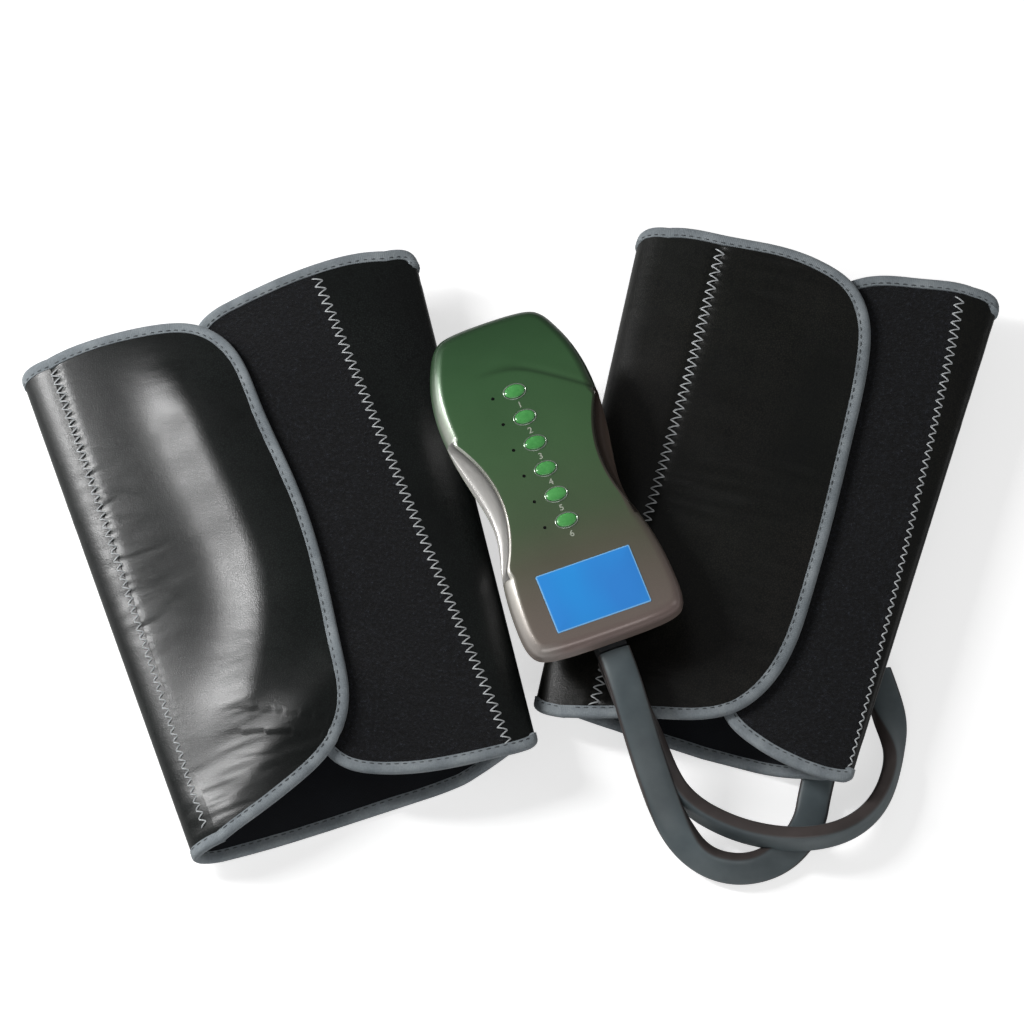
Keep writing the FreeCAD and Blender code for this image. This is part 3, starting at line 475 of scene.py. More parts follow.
def fold_swell(s, t, path, width):
    """A long swelling beside a path: a steep side on its left and a gentle fall on its right.

    Its height is a bell curve of the distance from the path, and it dies away at both ends.
    """
    best = np.full(np.shape(s), np.inf)
    off = np.zeros(np.shape(s))
    share = np.zeros(np.shape(s))
    for k, (a, b) in enumerate(zip(path, path[1:])):
        run = b - a
        near = np.clip(((s - a[0]) * run[0] + (t - a[1]) * run[1]) / np.hypot(*run) ** 2, 0, 1)
        dx = s - a[0] - near * run[0]
        dy = t - a[1] - near * run[1]
        away = np.hypot(dx, dy)
        closer = away < best
        best = np.where(closer, away, best)
        off = np.where(closer, np.sign(run[1] * dx - run[0] * dy) * away, off)
        share = np.where(closer, (k + near) / (len(path) - 1), share)
    ends = smooth_step(share, 0, 0.22) * (1 - smooth_step(share, 0.78, 1))
    return ends * np.where(off < width, bell(off, width, width), bell(off, width, 2.6 * width))


class Cuff:
    """One folded cuff as a single sheet with two coordinates, q across it and t along it.

    q runs from -1.9 to 0 over the flap (share f = -1 - q), 0 to 1 down round the inner fold, 1 to 3
    along the underside (f = q - 2), 3 to 4 up round the outer fold and on over the loop layer
    (f = 5 - q).  A share f is the distance across over the half width inside the folds.
    """

    FOLD = 14 * MM
    FLAT = 0.45
    THICK = 3.4 * MM
    FLAP_THICK = 3.0 * MM
    FLAP_RAISE = 4.3 * MM
    HALF_LONG = 137 * MM
    OUTLINE_POINTS = 400

    def __init__(self, side, skin, centre, turn, widths, levels, outlines, seams, hinge, seed, dent,
                 folds=()):
        self.side = side
        self.leather = skin
        self.centre = np.array((*centre, 0)) * MM
        self.turn = math.radians(turn)
        self.wide, self.narrow = (w * MM for w in widths)
        self.lift_left, self.lift_right, self.top_left, self.top_right, self.rise = (
            z * MM for z in levels)
        self.back_low, self.back_high = (np.array(line, float) * MM for line in outlines[:2])
        self.loop, self.flap = (through(line, self.OUTLINE_POINTS) * MM for line in outlines[2:])
        self.loop_seam, self.flap_seam = (np.array(seam) * MM for seam in seams)
        self.hinge_share, *reach = hinge
        self.hinge_reach = np.array(reach) * MM
        self.seed = seed
        self.dent = dent * MM
        self.folds = [(through(path, 20) * MM, height * MM, width * MM) for path, height, width in folds]
        self.flap = self.flap[self.flap[:, 0] > -self.half(self.flap[:, 1])]

    def called(self, *parts):
        """The full names of this cuff's parts."""
        return [self.side + "_cuff_" + part for part in parts]

    def half(self, t):
        """Half the width between the folds, which tapers evenly from the wide to the narrow end."""
        share = (t + self.HALF_LONG) / (2 * self.HALF_LONG)
        return self.narrow + (self.wide - self.narrow) * share - self.FOLD

    def floor(self, f):
        """Height of the underside: flat in the middle, then a parabola up to each fold."""
        lift = np.where(f > 0, self.lift_right, self.lift_left)
        return lift * (np.clip(np.abs(f) - self.FLAT, 0, None) / (1 - self.FLAT)) ** 2

    def roof(self, f):
        """Height of the loop layer: a slope between the folds plus a cubic crown."""
        slope = self.top_left + (self.top_right - self.top_left) * (f + 1) / 2
        return slope + self.rise * (1 - np.abs(f) ** 3)

    def fold_curve(self, sign, share, half, raised):
        """A cubic curve from the top of a fold (share 0) to its underside (share 1).

        Its first and last handles follow the slopes of the layers that it joins.
        """
        reach = self.FOLD / 0.75
        high = self.roof(sign) + raised
        low = self.floor(np.array(float(sign)))
        lift = self.lift_right if sign > 0 else self.lift_left
        slope_low = 2 * lift / (1 - self.FLAT) / half
        slope_high = (sign * (self.top_right - self.top_left) / 2 - 3 * self.rise) / half
        rest = 1 - share
        a, b, c, d = rest ** 3, 3 * rest ** 2 * share, 3 * rest * share ** 2, share ** 3
        height = high * (a + b) + low * (c + d) + reach * (slope_high * b + slope_low * c)
        return sign * (half + reach * (b + c)), height

    def flat_skin(self, q, t):
        """The sheet's outer skin without its dents, as (across, along, height)."""
        half = self.half(t)

        def layer(f, high, raised):
            return f * half, high(f) + raised

        parts = (layer(-1 - q, self.roof, self.FLAP_RAISE),
                 self.fold_curve(-1, q, half, self.FLAP_RAISE),
                 layer(q - 2, self.floor, 0), self.fold_curve(1, 4 - q, half, 0),
                 layer(5 - q, self.roof, 0))
        where = [q <= 0, q < 1, q <= 3, q < 4, q >= 4]
        across, height = (np.select(where, values) for values in zip(*parts))
        return np.stack([across, t, height], -1)

    def across(self, q, t):
        """Place across the cuff in its two upper layers, as a share and as a distance."""
        f = np.where(q < 2, -1 - q, 5 - q)
        return f, f * self.half(t)

    def relief(self, q, t):
        """Dents and soft folds of the two upper layers, the same in both so that they stay apart."""
        top = smooth_step(-q, -0.6, 0) + smooth_step(q, 3.4, 4)
        f, s = self.across(q, t)
        total = (self.dent * waves(s / 0.055 + 5, t / 0.085 + 9, self.seed)
                 + 0.22 * MM * waves(s / 0.05 + 20, t / 0.020 + 4, self.seed + 7) * bell(f, 0, 0.9))
        for path, height, width in self.folds:
            total = total + height * fold_swell(s, t, path, width)
        return top * total

    def dented(self, q, t):
        """The sheet's outer skin with its dents."""
        base = self.flat_skin(q, t)
        base[..., 2] += self.relief(q, t)
        return base

    def skin(self, q, t, depth=0.0, full=False):
        q, t = np.broadcast_arrays(np.asarray(q, float), np.asarray(t, float))
        step = 1e-3
        across = self.dented(q + step, t) - self.dented(q - step, t)
        along = self.dented(q, t + step) - self.dented(q, t - step)
        normal = unit(np.cross(along, across))
        local = self.dented(q, t) - normal * np.asarray(depth, float)[..., None]
        points = turned(local, self.turn, self.centre)
        return (points, turned(normal, self.turn)) if full else points

    def layers(self, q, t, *depths):
        """The sheet at some depths."""
        return [self.skin(q, t, depth) for depth in depths]

    def flap_q(self, s, t):
        """q of a place on the flap."""
        return -1 - s / self.half(t)

    def loop_q(self, s, t):
        """q of a place on the loop layer."""
        return 5 - s / self.half(t)

    def seam_s(self, seam, t):
        """Where a seam lies across the cuff at each place along it."""
        order = np.argsort(seam[:, 1])
        return np.interp(t, seam[order, 1], seam[order, 0])

    def tongue(self):
        """The loop layer's free edge, from the seam's far end round to its near end, as (s, t)."""
        free = self.loop[:, 0] < self.seam_s(self.loop_seam, self.loop[:, 1])
        edge = even(self.loop[free], 300)
        return edge[::-1] if edge[0, 1] < 0 else edge

    def end_line(self, q, sign):
        """t of the sheet's end edge, at the wide end (sign 1) or the narrow one (sign -1)."""
        half = float(self.half(sign * 0.13))
        loop = self.loop[self.loop[:, 1] * sign > 0]
        loop = loop[np.argsort(loop[:, 0])]
        back = self.back_high if sign > 0 else self.back_low

        def at(line, s):
            return np.interp(s, line[:, 0], line[:, 1])

        at_flap = self.flap[0 if sign > 0 else -1, 1]
        inner = at_flap + (at(back, -half) - at_flap) * smooth_step(q, 0, 1)
        outer = at(back, half) + (at(loop, half) - at(back, half)) * smooth_step(q, 3, 4)
        return np.select([q < 1, q <= 3, q < 4], [inner, at(back, (q - 2) * half), outer],
                         at(loop, (5 - q) * half))


# Levels are, in mm: the folds' lift off the floor, left and right, their tops, and the crown.
# Outlines are the two end edges of the underside, then the loop layer and the flap.
# A hinge is its place across the cuff as a share of the half width, and where its bend starts and ends.
LEFT = Cuff("left", LEATHER_LEFT, (-109.04, -8.1), 16.1, (103, 89), (4, 15, 20, 34, 5), (
    [(-88, -142), (-20, -139), (52, -135), (90, -128)],
    [(-104, 128), (-40, 133), (40, 134), (101, 128)],
    [(101, -139.5), (86, -137), (56, -136), (27, -133), (9, -128), (-6, -120), (-16, -105), (-20, -60),
     (-20, 60), (-19, 112), (-12, 128), (10, 137), (34, 141), (58, 143), (81, 142), (98, 138),
     (110, 134)],
    [(-112, 127), (-92, 134), (-63, 136.5), (-37, 134.5), (-13, 127), (0, 112), (6, 78), (12, 25),
     (12.5, -18), (9, -65), (4, -93), (-7, -109), (-28, -122), (-53, -132), (-78, -140), (-100, -148)]),
    ([(52, 143), (52, 134.6), (62.7, 9), (75.4, -129), (76, -140)],
     [(-87.5, 134), (-85.4, 60), (-84, 0), (-83, -70), (-82, -140)]), (-1.0, -3, 16), 31, 0.5,
    [([(-72, -108), (-62, -78), (-45, -46), (-34, -10), (-36, 24), (-41, 61), (-54, 135)], 6.2, 19),
     ([(-100, -132), (-76, -113), (-40, -88), (-8, -66), (22, -42)], 4.0, 16)])
RIGHT = Cuff("right", LEATHER_RIGHT, (123.46, 21.1), -14.3, (93, 81), (4, 16.5, 19, 35, 3.5), (
    [(-77, -127), (-41, -129), (5, -133), (58, -134), (82, -137)],
    [(-93, 122), (-40, 127), (40, 128), (92, 122)],
    [(96, -143), (82, -141), (61, -139.5), (28, -130.5), (12, -119), (6, -100), (4, -60), (4, 60),
     (5, 100), (12, 118), (31, 129), (52, 132), (76, 134), (88, 131), (102, 124)],
    [(-104, 119), (-88, 129), (-75, 133), (-50, 133), (-14, 132), (4, 128), (17, 122), (27, 112),
     (33, 100), (37, 80), (39, 40), (40, -5), (39.5, -50), (37.5, -78), (30, -102), (18, -117),
     (1, -125), (-22, -129), (-50, -134), (-74, -137), (-92, -139)]),
    ([(73, 133), (73, 128), (75.7, 95), (77.5, 60), (79.3, 26), (81.4, -10.5), (85.9, -98), (88, -142)],
     [(-50, 131), (-49, 60), (-50, 0), (-51.5, -70), (-52, -130)]), (-0.2, -8, 8), 47, 0.8)

EDGE_UNDER_TAPE = 2.5 * MM
BODY_ROWS = 150
BODY_COLUMNS = (26, 61, 30)
RIM_COLUMNS = (40, 140, 44)
RIM_START = -0.025
TONGUE_POINTS = 420
SEAM_COLUMNS = 25
TONGUE_GRID = (160, 60)
FLAP_GRID = (220, 90)


def drawn_in(edge, distance):
    """An open edge moved towards the cuff's inside, which lies on its right."""
    along = unit(np.gradient(edge, axis=0))
    return edge + distance * np.stack([along[:, 1], -along[:, 0]], 1)


def round_under(first, *counts):
    """q from the hinge round the inner fold, along the underside and round the outer fold."""
    inner, under, outer = counts
    return np.r_[np.linspace(first, 1, inner), np.linspace(1, 3, under)[1:],
                 np.linspace(3, 4, outer)[1:]]


def body_grid(cuff):
    """(q, t) over the sheet from the hinge to the loop seam, which lies beside or on the outer fold."""
    rows = np.linspace(0, 1, BODY_ROWS)[:, None]

    def along(q):
        low = cuff.end_line(q, -1) + EDGE_UNDER_TAPE
        high = cuff.end_line(q, 1) - EDGE_UNDER_TAPE
        return low + (high - low) * rows

    def seam(t):
        return cuff.loop_q(cuff.seam_s(cuff.loop_seam, t), t)

    q = np.tile(round_under(0, *BODY_COLUMNS), (BODY_ROWS, 1))
    start = np.minimum(4, seam(along(q)[:, -1:]) - 0.08)
    q = np.where(q > 3, 3 + (q - 3) * (start - 3), q)
    t = along(q)
    share = np.linspace(0, 1, SEAM_COLUMNS)[1:]
    loop_t = along(start + (seam(t[:, -1:]) - start) * share)
    loop_q = start + (seam(loop_t) - start) * share
    return np.hstack([q, loop_q]), np.hstack([t, loop_t])


def ruled(start, edge, columns):
    """(s, t) over the straight lines from one edge, given across the cuff, to another."""
    t = np.linspace(edge[0, 1], edge[-1, 1], len(edge))
    share = np.linspace(0, 1, columns)[None, :, None]
    place = np.stack([start(t), t], 1)[:, None] * (1 - share) + edge[:, None] * share
    return place[..., 0], place[..., 1]


def tongue_grid(cuff):
    """(q, t) over the loop fabric, ruled from the seam to the free edge."""
    rows, columns = TONGUE_GRID
    edge = even(drawn_in(cuff.tongue(), -EDGE_UNDER_TAPE), rows)
    s, t = ruled(lambda t: cuff.seam_s(cuff.loop_seam, t), edge, columns)
    q = cuff.loop_q(s, t)
    low = cuff.end_line(q, -1) + EDGE_UNDER_TAPE
    high = cuff.end_line(q, 1) - EDGE_UNDER_TAPE
    return q, np.where(q < 4, np.clip(t, low, high), t)


def flap_grid(cuff):
    """(q, t) over the flap, ruled from the fold's crest to the free edge."""
    rows, columns = FLAP_GRID
    edge = even(drawn_in(cuff.flap, EDGE_UNDER_TAPE), rows)
    edge = even(edge[edge[:, 0] > -cuff.half(edge[:, 1])], rows)
    s, t = ruled(lambda t: -cuff.half(t), edge, columns)
    return cuff.flap_q(s, t), t


def sheet_uv(cuff, q, t):
    """Across and along the unfolded sheet, in metres."""
    return np.stack([q * cuff.half(t), t], -1)


def creases(cuff, q, t, size):
    """Fine crosswise creases of soft leather, as a depth."""
    s = q * cuff.half(t)
    lines = waves(s / 0.030, t / 0.0045, cuff.seed + 20)
    return size * smooth_step(waves(s / 0.045 + 3, t / 0.06 + 8, cuff.seed + 30), -0.1, 0.5) * lines


ZIGZAG_WIDTH = 5.4 * MM
ZIGZAG_PITCH = 4.75 * MM


def seam_groove(cuff, seam, q, t):
    """Where a seam pulls the leather in, scalloped between its needle holes."""
    off = cuff.across(q, t)[1] - cuff.seam_s(seam, t)
    return 0.55 * MM * bell(off, 0, 3.2 * MM) * (1 + 0.35 * np.sin(2 * np.pi * t / ZIGZAG_PITCH))


def leather_body(cuff):
    q, t = body_grid(cuff)
    depth = creases(cuff, q, t, 0.22 * MM) * smooth_step(np.abs(q - 2), 1.1, 1.9)
    made = shells(*cuff.called("leather"), [cuff.layers(q, t, depth, 1.2 * MM)], cuff.leather,
                  [sheet_uv(cuff, q, t)],
                  replaces=cuff.called("back_panel", "inner_fold", "outer_fold", "loop_layer"))


def loop_fabric(cuff):
    """The loop fabric on top of the loop layer, with a slightly uneven nap."""
    q, t = tongue_grid(cuff)
    nap = 0.12 * MM * waves(q * 60, t / 0.0035, cuff.seed + 50)
    shells(*cuff.called("loop_cloth"), [cuff.layers(q, t, 0.35 * MM + nap, 1.5 * MM)], LOOP_CLOTH,
           [sheet_uv(cuff, q, t)], replaces=cuff.called("loop_fabric"))


def lining(cuff):
    """The woven lining on the whole inner side."""
    grids = body_grid(cuff), tongue_grid(cuff)
    shells(*cuff.called("inner_lining"), [cuff.layers(q, t, 2.5 * MM, 3.2 * MM) for q, t in grids],
           LINING, [sheet_uv(cuff, q, t) for q, t in grids], replaces=cuff.called("lining"))


def hinge_blend(cuff, thing):
    """Bake a piece's placement into its mesh; the ends of the flap's hinge line are worked out but not
    used to bend it.
    """
    across = np.array([math.cos(cuff.turn), math.sin(cuff.turn), 0])
    start, end = (cuff.centre + (cuff.hinge_share * float(cuff.half(0)) + shift) * across
                  for shift in cuff.hinge_reach)
    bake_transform(thing)


def flap(cuff):
    """The flap: leather above, lining below."""
    q, t = flap_grid(cuff)
    depth = creases(cuff, q, t, 0.3 * MM) + seam_groove(cuff, cuff.flap_seam, q, t)
    uv = [sheet_uv(cuff, q, t)]
    names = ("flap",) if cuff is LEFT else ("flap", "flap_base")
    hinge_blend(cuff, shells(*cuff.called("flap_leather"), [cuff.layers(q, t, depth, 1.5 * MM)],
                             cuff.leather, uv, replaces=cuff.called(*names), rides=None))
    hinge_blend(cuff, shells(*cuff.called("flap_lining"), [cuff.layers(q, t, 1.6 * MM, 2.9 * MM)],
                             LINING, uv, rides=None))


# Half the tape's cross-section: (inwards from the edge, out from the middle of the sheet), in mm.
TAPE_SECTION = [(6.0, 0.9), (5.7, 2.0), (4.9, 1.95), (3.9, 2.2), (2.4, 2.3), (1.1, 2.05), (0.35, 1.4),
                (0.0, 0.5)]
TAPE_STEP = 1.6 * MM
STITCH_PITCH = 4.3 * MM
STITCH_LONG = 2.9 * MM
STITCH_IN = 4.7 * MM
STITCH_OUT = 1.96 * MM
STITCH_LOWEST = 0.6 * MM


def tape_rings(cuff, q, t, inward, thick):
    """Rings of the tape's section along an edge given in (q, t), and the edge's own frame."""
    points, normal = cuff.skin(q, t, full=True)
    side = unit(np.cross(normal, unit(np.gradient(points, axis=0)))) * inward
    section = np.array(TAPE_SECTION + [(a, -b) for a, b in reversed(TAPE_SECTION)]) * MM
    run = lengths(points)
    pucker = 1 + 0.09 * waves(run / 0.006, run * 0, cuff.seed + 3)
    swing = 0.35 * MM * waves(run / 0.03, run * 0 + 5, cuff.seed + 5)
    a = section[None, :, 0] + swing[:, None] * (section[None, :, 0] > 4 * MM)
    b = section[None, :, 1] * pucker[:, None] - thick / 2
    rings = points[:, None] + side[:, None] * a[..., None] + normal[:, None] * b[..., None]
    rings[..., 2] = np.maximum(rings[..., 2], 0)
    uv = np.stack(np.broadcast_arrays(run[:, None], lengths(section)[None, :]), -1)
    return rings, uv, (points, normal, side, run)


def running_stitch(name, data, thick, rides):
    """Thread along the tape's inner edge, one stitch every pitch, on both faces of the tape."""
    points, normal, side, run = data
    begin = STITCH_PITCH * (0.5 + np.arange(int(run[-1] / STITCH_PITCH) - 1))
    up = unit(read_at(begin, run, normal))
    starts, ends, ups = [], [], []
    for face in (1, -1):
        for at, places in ((begin, starts), (begin + STITCH_LONG, ends)):
            place = read_at(at, run, points) + read_at(at, run, side) * STITCH_IN
            place += up * (face * STITCH_OUT - thick / 2)
            place[:, 2] = np.maximum(place[:, 2], STITCH_LOWEST)
            places.append(place)
        ups.append(up * face)
    return stitches(name, *map(np.concatenate, (starts, ends, ups)), 0.3 * MM, 0.22 * MM, 0.25 * MM,
                    TAPE_THREAD, rides)


def rim_path(cuff):
    """The cuff's edge in (q, t), from the hinge along the wide end, round the tongue and back."""
    over = round_under(RIM_START, *RIM_COLUMNS)
    loop = cuff.loop if cuff.loop[0, 1] > 0 else cuff.loop[::-1]
    loop = even(loop[loop[:, 0] < cuff.half(loop[:, 1])], TONGUE_POINTS)
    tip = np.stack([cuff.loop_q(*loop.T), loop[:, 1]], 1)
    high, low = (np.stack([over, cuff.end_line(over, sign)], 1) for sign in (1, -1))
    return np.concatenate([high[:-1], tip, low[::-1][1:]])


def tape(cuff, edge, path, inward, thick, rides):
    """Tape folded over an edge in (q, t), read at even lengths of its place in space, and its thread."""
    run = lengths(cuff.skin(*path.T))
    q, t = read_at(np.linspace(0, run[-1], int(run[-1] / TAPE_STEP)), run, path).T
    rings, uv, data = tape_rings(cuff, q, t, inward, thick)
    name, sewn, solid = cuff.called(edge + "_tape", edge + "_stitches",
                                    "binding" if edge == "rim" else edge + "_binding")
    return (sweep(name, rings, TAPE, uv=uv, replaces=[solid], rides=rides),
            running_stitch(sewn, data, thick, rides))


def bindings(cuff):
    """The tape round the cuff's edge, the flap's tape and their running stitches."""
    tape(cuff, "rim", rim_path(cuff), 1, cuff.THICK, "root")
    path = np.stack([cuff.flap_q(*cuff.flap.T), cuff.flap[:, 1]], 1)
    for thing in tape(cuff, "flap", path, -1, cuff.FLAP_THICK, None):
        hinge_blend(cuff, thing)


def zigzag(cuff, name, seam, to_q, ends, edge, rides):
    """A zigzag seam: one thread per leg, between two rows of needle holes."""
    low, high = ends[0], edge[:, 1].max() - ends[1]
    legs = int((high - low) / (ZIGZAG_PITCH / 2))
    k = np.arange(legs + 1)
    t = low + (high - low) * k / legs
    s = cuff.seam_s(seam, t) + np.where(k % 2, 0.5, -0.5) * ZIGZAG_WIDTH
    points, normal = cuff.skin(to_q(s, t), t, full=True)
    return stitches(name, points[:-1], points[1:], unit(normal[:-1] + normal[1:]), 0.36 * MM, 0.5 * MM,
                    0.35 * MM, SEAM_THREAD, rides)


# Where each seam starts, and how far it stops short of its layer's wide end.
LOOP_SEAM_ENDS = -131 * MM, 8 * MM
FLAP_SEAM_ENDS = -128 * MM, 9 * MM


def seams(cuff):
    """The two zigzag seams of a cuff, each between its ends along the cuff."""
    loop, edge = cuff.called("loop_seam", "flap_seam")
    zigzag(cuff, loop, cuff.loop_seam, cuff.loop_q, LOOP_SEAM_ENDS, cuff.loop, "root")
    hinge_blend(cuff, zigzag(cuff, edge, cuff.flap_seam, cuff.flap_q, FLAP_SEAM_ENDS, cuff.flap, None))


for cuff in (LEFT, RIGHT):
    for part in (leather_body, loop_fabric, lining, flap, bindings, seams):
        part(cuff)


# ---------------------------------------------------------------- hoses

HOSE_RUBBER = hose_rubber()
HOSE_WIDE = 16.5 * MM
HOSE_THICK = 8.4 * MM
HOSE_POWERS = (0.62, 0.45)
HOSE_RINGS = 150
HOSE_SIDES = 40
TILT_EASE = 10
HOSE_A_ROUTE = [(51.5, -72.1, 52.4), (56.2, -84.8, 52.4), (62.5, -106, 47), (70, -127, 33),
                (80, -150, 17.5), (94.5, -166, 9.6), (115, -171.5, 9.4), (135, -163, 6.6),
                (148.2, -146, 5), (151.3, -126.4, 5.4), (156.3, -107.0, 5.7)]
HOSE_B_ROUTE = [(51.5, -72.1, 43.2), (56.2, -84.8, 43.2), (64, -103, 37), (74.5, -122, 26),
                (88, -139, 18), (107, -150, 16.5), (127, -156.5, 17.6), (149, -158, 18.4),
                (169, -151, 15), (183.2, -136, 10.5), (190.2, -115, 8.6), (189.7, -97, 8.4),
                (186.7, -80, 5.6), (181.7, -65, 4.9)]


def curve_mesh(curve):
    """The points and faces that a curve gives; the curve itself is put away."""
    thing = bpy.data.objects.new(curve.name, curve)
    mesh = bpy.data.meshes.new_from_object(thing)
    points = np.array([v.co[:] for v in mesh.vertices])
    faces = [list(f.vertices) for f in mesh.polygons]
    bpy.data.objects.remove(thing)
    bpy.data.curves.remove(curve)
    bpy.data.meshes.remove(mesh)
    return points, faces


def spline_points(name, route):
    """Points read from a smooth spline whose control points are the route."""
    curve = bpy.data.curves.new(name, "CURVE")
    curve.dimensions = "3D"
    curve.resolution_u = 16
    spline = curve.splines.new("NURBS")
    spline.points.add(len(route) - 1)
    for point, place in zip(spline.points, route):
        point.co = (*(c * MM for c in place), 1)
    spline.order_u = 3
    spline.use_endpoint_u = True
    return curve_mesh(curve)[0]


def hose(name, label, route, tilts):
    """A flat hose: a rounded oblong section along the route, turned about it by the tilts.

    A tilt of 0 lays the flat side up and 90 stands it on edge, its upper face to the bend's outside.
    The section is a super-ellipse: cosine and sine, each raised to a power of its own.
    """
    points = even(spline_points(label + "_line", route), HOSE_RINGS)
    along = unit(np.gradient(points, axis=0))
    side = unit(np.cross(along, (0, 0, 1)))
    marks = np.array(tilts, float)
    tilt = np.radians(np.interp(np.linspace(0, 1, len(points)), *marks.T))
    ease = np.hanning(2 * TILT_EASE + 1)
    tilt = np.convolve(np.pad(tilt, TILT_EASE, mode="edge"), ease / ease.sum(), mode="valid")[:, None]
    wide = side * np.cos(tilt) - np.cross(side, along) * np.sin(tilt)
    ring = circle(HOSE_SIDES)
    section = np.sign(ring) * np.abs(ring) ** HOSE_POWERS
    rings = (points[:, None] + wide[:, None] * section[None, :, :1] * HOSE_WIDE / 2
             + np.cross(along, wide)[:, None] * section[None, :, 1:] * HOSE_THICK / 2)
    run = lengths(points)
    # Across the section: marks the narrow sides for the painted reflection in hose_rubber.
    side_reflection_place = 0.5 + 0.5 * np.abs(section[:, 0])
    uv = np.stack(np.broadcast_arrays(run[:, None], side_reflection_place[None, :]), -1)
    made = sweep(label, rings, HOSE_RUBBER, uv=uv, crease=60, replaces=[name])


hose("hose_a", "upper_hose", HOSE_A_ROUTE,
     [(0, 0), (0.36, 0), (0.52, 62), (0.66, 55), (0.78, 5), (1, 0)])
hose("hose_b", "lower_hose", HOSE_B_ROUTE,
     [(0, 0), (0.10, 0), (0.26, 85), (0.82, 85), (0.92, 5), (1, 0)])


# ---------------------------------------------------------------- controller, in mm in its own frame

# Control points of half the case's plan outline, from the top end's middle to the lower end's.
CASE_SIDE = [(0, 89.5), (20.5, 89.5), (28.3, 86), (32.5, 77.7), (36.5, 68.4), (39.5, 57.2), (41, 43),
             (40, 23.4), (36.4, 4.4), (33.1, -13.5), (35, -27.4), (38.8, -39), (41.2, -52.8),
             (42.2, -70.3), (41.5, -89), (31, -92.2), (0, -92)]
CASE_PLACE = np.array([18.41, 16.4, 34.6]) * MM
CASE_TURN = math.radians(20.5)
SEAM_Z = 24.0
FACE_Z = 34.0
FACE_WALL = 2.2
FACE_GRID = 1.25
RING_COUNT = 480
SIDE_POINTS = 600
BUTTONS = {name: (0.5, 46.8 - 14.67 * i) for i, name in enumerate(
    ("power", "mode", "adjust", "pressure_up", "pressure_down", "deflate"))}
BUTTON_SIZE = np.array([5.1, 3.4])
SCREEN_MIDDLE = np.array([0.0, -65.4])
SCREEN_SIZE = np.array([49.3, 32.0])
GUIDE_X = -11.0
GUIDE_RADIUS = 0.85
HOLE_GAP = 0.15
OVAL_SIDES = 48
RIM_SIDES = 64
GUIDE_SIDES = 18
# The grips' inner edges: (side, least distance from the middle line, its place along, bend).
RIDGES = ((-1, 26.7, -6.4, 0.0082), (1, 28.5, -2.0, 0.0078))
# How far inside the outline a ridge has to lie for the scoop to begin, and for it to be full.
SCOOP_REACH = (0.6, 3.2)
NO_RIDGE = -50.0
# Crowns of the face, to both sides and to the upper end: (drop, where it starts, its reach).
SIDE_CROWN = (0.9, 14, 24)
END_CROWN = (1.5, 62, 28)
# The brow fold follows y = start - slope (u + sqrt(u^2 + round)), where u = x - middle.
BROW_START, BROW_MIDDLE, BROW_SLOPE, BROW_ROUND = 60.5, 6.0, 0.375, 64.0


def in_case(points):
    return turned(np.asarray(points, float) * MM, CASE_TURN, CASE_PLACE)


def b_spline(poles, count):
    """A cubic B-spline with even knots that ends on its first and last control points."""
    poles = np.array(poles, float)
    n = len(poles)
    knots = np.r_[[0.0] * 3, np.arange(n - 2), [n - 3.0] * 3]
    u = np.linspace(0, n - 3 - 1e-9, count)
    basis = np.array([(knots[i] <= u) & (u < knots[i + 1]) for i in range(n + 3)], float)
    for degree in (1, 2, 3):
        for i in range(n + 3 - degree):
            rise = knots[i + degree] - knots[i]
            fall = knots[i + degree + 1] - knots[i + 1]
            up = (u - knots[i]) / rise * basis[i] if rise else 0
            down = (knots[i + degree + 1] - u) / fall * basis[i + 1] if fall else 0
            basis[i] = up + down
    return basis[:n].T @ poles


def case_outline():
    """The closed plan outline at even steps, with its inward directions and its scooped shares.

    Where a grip's ridge lies inside the outline, the case is scooped: a share of 1 is a full scoop.
    """
    right = b_spline(CASE_SIDE, SIDE_POINTS)
    whole = np.concatenate([right, (right * (-1, 1))[::-1][1:]])
    points = even(whole, RING_COUNT + 1)[:-1]
    along = unit(np.roll(points, -1, axis=0) - np.roll(points, 1, axis=0))
    inward = np.stack([along[:, 1], -along[:, 0]], 1)
    ridge = np.full(RING_COUNT, NO_RIDGE)
    for side, nearest, middle, bend in RIDGES:
        here = points[:, 0] * side > 0
        reach = np.abs(points[:, 0]) - (nearest + bend * (points[:, 1] - middle) ** 2)
        ridge[here] = reach[here]
    share = smooth_step(ridge, *SCOOP_REACH)
    level = np.stack([-np.sign(points[:, 0]), np.zeros(RING_COUNT)], 1)
    return points, unit(inward + (level - inward) * share[:, None]), np.maximum(ridge, 1.0), share


def face_height(x, y):
    """The face: level in the middle, crowned to the sides and ends, with a brow fold across the top."""
    crown = sum(drop * (np.clip(place - start, 0, None) / reach) ** 2
                for place, (drop, start, reach) in ((np.abs(x), SIDE_CROWN), (y, END_CROWN)))
    u = x - BROW_MIDDLE
    off = y - BROW_START + BROW_SLOPE * (u + np.sqrt(u ** 2 + BROW_ROUND))
    brow = 0.75 * bell(off, 0.5, 1.6) - 0.5 * bell(off, 4.5, 4.5)
    return FACE_Z - crown - smooth_step(x, -16, 6) * brow


WALL_STEPS = 10
EDGE_STEPS = 18
EDGE_START = (0.5, 0.28)
EDGE_END = 6.4
LIP_STEPS, RIM_STEPS = 4, 7
LIP_IN, LIP_HIGH = 0.5, 0.14
HOLLOW_START, HOLLOW_RISE, HOLLOW_POWER = 0.15, 0.73, 1.9
RIM_IN, RIM_START_HIGH, RIM_RISE = 1.5, 0.88, 0.12


